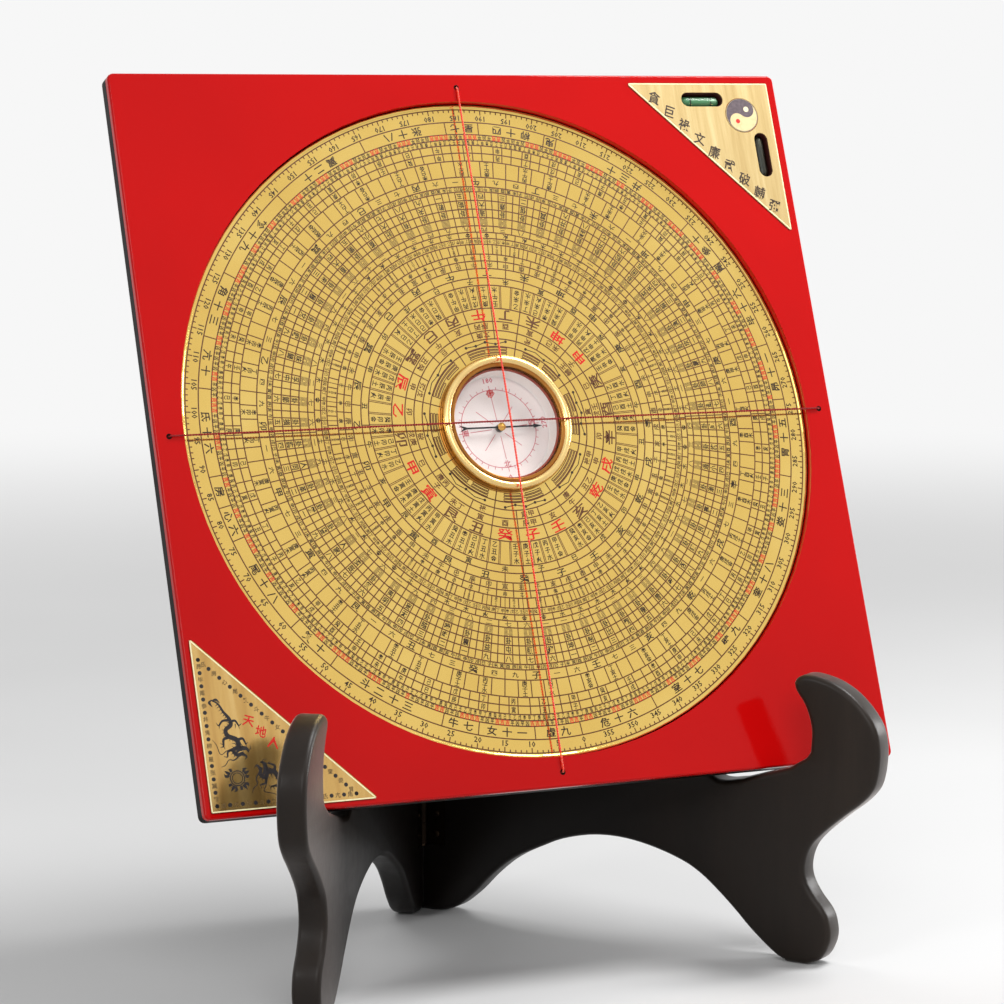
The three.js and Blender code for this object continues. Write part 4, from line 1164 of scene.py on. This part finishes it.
# A dragon's back from its tail, then its limbs, jaws, horns and whiskers with their widths
DRAGON_BODY = (
    (5.4, 41.2), (7.8, 39.6), (9.4, 36.6), (11.2, 34.0), (11.6, 31.6), (9.4, 29.8), (10.0, 27.6),
    (13.0, 26.0), (13.6, 23.6), (11.4, 22.2), (12.6, 20.4), (15.2, 21.0))
BODY_WIDTHS = (0.5, 0.7, 0.9, 1.3, 1.6, 1.5, 1.7, 1.8, 1.6, 1.5, 1.4, 1.2)
DRAGON_MARKS = (
    (((5.4, 41.2), (4.6, 40.2), (5.6, 38.6)), (0.3, 1.1, 0.1)),
    (((5.6, 41.0), (7.2, 41.2), (8.6, 39.8)), (0.2, 1.0, 0.1)),
    (((11.0, 33.4), (8.6, 33.2), (7.0, 31.6), (6.2, 32.8)), (1.0, 0.8, 0.5, 0.1)),
    (((7.4, 32.0), (7.0, 30.4)), (0.4, 0.1)),
    (((11.4, 32.6), (13.4, 33.0), (14.6, 31.2), (15.8, 31.8)), (1.1, 0.8, 0.5, 0.1)),
    (((14.4, 31.6), (14.8, 29.8)), (0.4, 0.1)),
    (((13.4, 31.8), (13.2, 30.2)), (0.4, 0.1)),
    (((10.4, 27.2), (8.2, 26.4), (7.8, 24.0), (6.6, 23.6)), (1.3, 1.0, 0.6, 0.1)),
    (((7.8, 24.6), (8.2, 22.8)), (0.45, 0.1)),
    (((8.0, 24.4), (6.6, 25.2)), (0.45, 0.1)),
    (((13.2, 25.8), (15.4, 26.2), (16.4, 24.2), (17.2, 24.8)), (1.2, 0.9, 0.5, 0.1)),
    (((16.2, 24.6), (16.6, 22.8)), (0.4, 0.1)),
    (((11.2, 22.6), (9.2, 21.8), (8.8, 20.0), (7.4, 20.2)), (1.1, 0.8, 0.5, 0.1)),
    (((12.4, 21.2), (14.0, 22.6), (16.4, 22.4), (17.2, 20.8)), (0.6, 1.9, 1.3, 0.2)),
    (((14.6, 20.6), (16.0, 19.6), (15.2, 18.4)), (1.2, 0.7, 0.1)),
    (((14.4, 22.8), (12.6, 24.4), (11.0, 24.8)), (0.6, 0.4, 0.1)),
    (((15.2, 23.0), (14.4, 24.8)), (0.5, 0.1)),
    (((16.6, 21.4), (17.8, 22.2), (18.0, 23.6)), (0.35, 0.25, 0.1)),
    (((13.6, 20.2), (11.2, 18.6), (9.2, 18.8), (7.6, 17.0), (5.8, 16.4)),
     (0.5, 0.45, 0.3, 0.3, 0.1)),
    (((12.0, 21.0), (9.4, 22.4), (6.4, 21.0), (5.2, 24.6), (3.9, 26.6)),
     (0.4, 0.3, 0.25, 0.25, 0.1)),
)
SPINE_LENGTH = 1.5
for way in (1, -1):
    body = [on_plate(*at[::way]) for at in DRAGON_BODY]
    ornament.ribbon(body, BODY_WIDTHS)
    spine = spline(body, 3)
    for here, there in zip(spine[3:-3], spine[4:-2]):
        out = np.array((there[1] - here[1], here[0] - there[0]))
        out *= way * SPINE_LENGTH / np.linalg.norm(out)
        ornament.stroke(here, here + out, 0.5, 0.08, 0.01)
    for marks, widths in DRAGON_MARKS:
        ornament.ribbon([on_plate(*at[::way]) for at in marks], widths, 5, 0.01)

PEARL = on_plate(11.5, 11.9)
for radius, width in ((2.9, 0.4), (2.1, 0.3)):
    ornament.band(radius - width, radius, about=PEARL, steps=36)
for flame in (25, 145, 235, 305):
    ray, across = directions(np.radians([flame, flame + 90]))
    for bend, size in ((0.9, 1.0), (-0.9, 0.7), (0.1, 1.25)):
        base = PEARL + ray * 3.1 + across * bend * 0.8
        ornament.ribbon([
            base, base + (ray * 0.9 + across * bend) * size,
            base + (ray * 1.9 + across * bend * 0.6) * size], (0.9, 1.1, 0.1), 4, 0.01)
for i, word in enumerate("天地人"):
    ornament_red.glyph(word, on_plate(18.6 + 4.2 * i, 32.6 - 4.4 * i), 4.2, -18, 0.95)

for name, (ink, look, body, slot) in PRINTS.items():
    piece(name, *merged(ink.parts), look, body, slot, flat=True)

# Camera, light and floor

AMBIENT, BACKDROP = 0.3, 0.93
MIDDLE = (0, 0, 0.16)
FLOOR_REACH, FADE_START, FADE_END = 40, 0.5, 2.2
CAMERA_PLACE, CAMERA_DOWN, CAMERA_AROUND = (-0.5260, -1.14482, 0.3288), 6.83, 24.42
CAMERA_LENS, CAMERA_SENSOR = 118.3, 36

# The world lights the object softly and is seen, mirrored or through glass, as a bright backdrop
world = bpy.data.worlds.new("studio")
bpy.context.scene.world = world
world.use_nodes = True
tree = world.node_tree
rays = add_node(tree, "ShaderNodeLightPath").outputs
seen = rays["Is Camera Ray"]
for kind in ("Is Glossy Ray", "Is Transmission Ray"):
    either = add_node(tree, "ShaderNodeMath", {0: seen, 1: rays[kind]}, operation="MAXIMUM")
    seen = either.outputs["Value"]
strength = add_node(
    tree, "ShaderNodeMapRange", {"Value": seen, "To Min": AMBIENT, "To Max": BACKDROP})
background = tree.nodes["Background"]
background.inputs["Color"].default_value = (1, 1, 1, 1)
tree.links.new(strength.outputs["Result"], background.inputs["Strength"])

for name, place, target, size, power in (
        ("key", (0.52, -0.12, 0.95), MIDDLE, 0.4, 9),
        ("side", (1.5, 0.02, 0.42), (0, -0.05, 0.1), 0.4, 9),
        ("fill", (-0.4, -1.3, 1.0), MIDDLE, 0.9, 6.8),
        ("rear", (-0.4, 1.5, 1.3), MIDDLE, 0.9, 6),
        ("edge", (-1.3, -0.45, 0.75), MIDDLE, 0.35, 3)):
    data = bpy.data.lights.new(name, "AREA")
    data.shape, data.size, data.energy = "DISK", size, power
    lamp = placed(name, data)
    lamp.location = place
    lamp.rotation_euler = (Vector(target) - lamp.location).to_track_quat("-Z", "Y").to_euler()

floor_look = noise_look(
    "floor_pale", [(0.3, (212.232,) * 3), (0.7, (216.462,) * 3)], (3, 2), on_board=False,
    Roughness=0.6, Specular_IOR_Level=0.2)
distance = floor_look.node("ShaderNodeVectorMath", {0: floor_look.place}, operation="LENGTH")
fade = floor_look.between(
    distance.outputs["Value"], 0.0, 1.0, FADE_START, FADE_END, interpolation_type="SMOOTHSTEP")
glow = floor_look.node("ShaderNodeEmission", {"Strength": BACKDROP})
floor_look.mix(fade, floor_look.shader.outputs["BSDF"], glow.outputs["Emission"])

floor_mesh = bpy.data.meshes.new("floor")
corners = ((-1, -1), (1, -1), (1, 1), (-1, 1))
floor_mesh.from_pydata(
    [(x * FLOOR_REACH, y * FLOOR_REACH, 0) for x, y in corners], [], [(0, 1, 2, 3)])
floor_mesh.materials.append(floor_look.material)
placed("floor", floor_mesh)

camera_data = bpy.data.cameras.new("camera")
camera_data.sensor_width = CAMERA_SENSOR
camera_data.lens = CAMERA_LENS
camera = placed("camera", camera_data)
camera.location = CAMERA_PLACE
camera.rotation_euler = (math.radians(90 - CAMERA_DOWN), 0, math.radians(-CAMERA_AROUND))
bpy.context.scene.camera = camera
bpy.context.scene.view_settings.view_transform = "Standard"
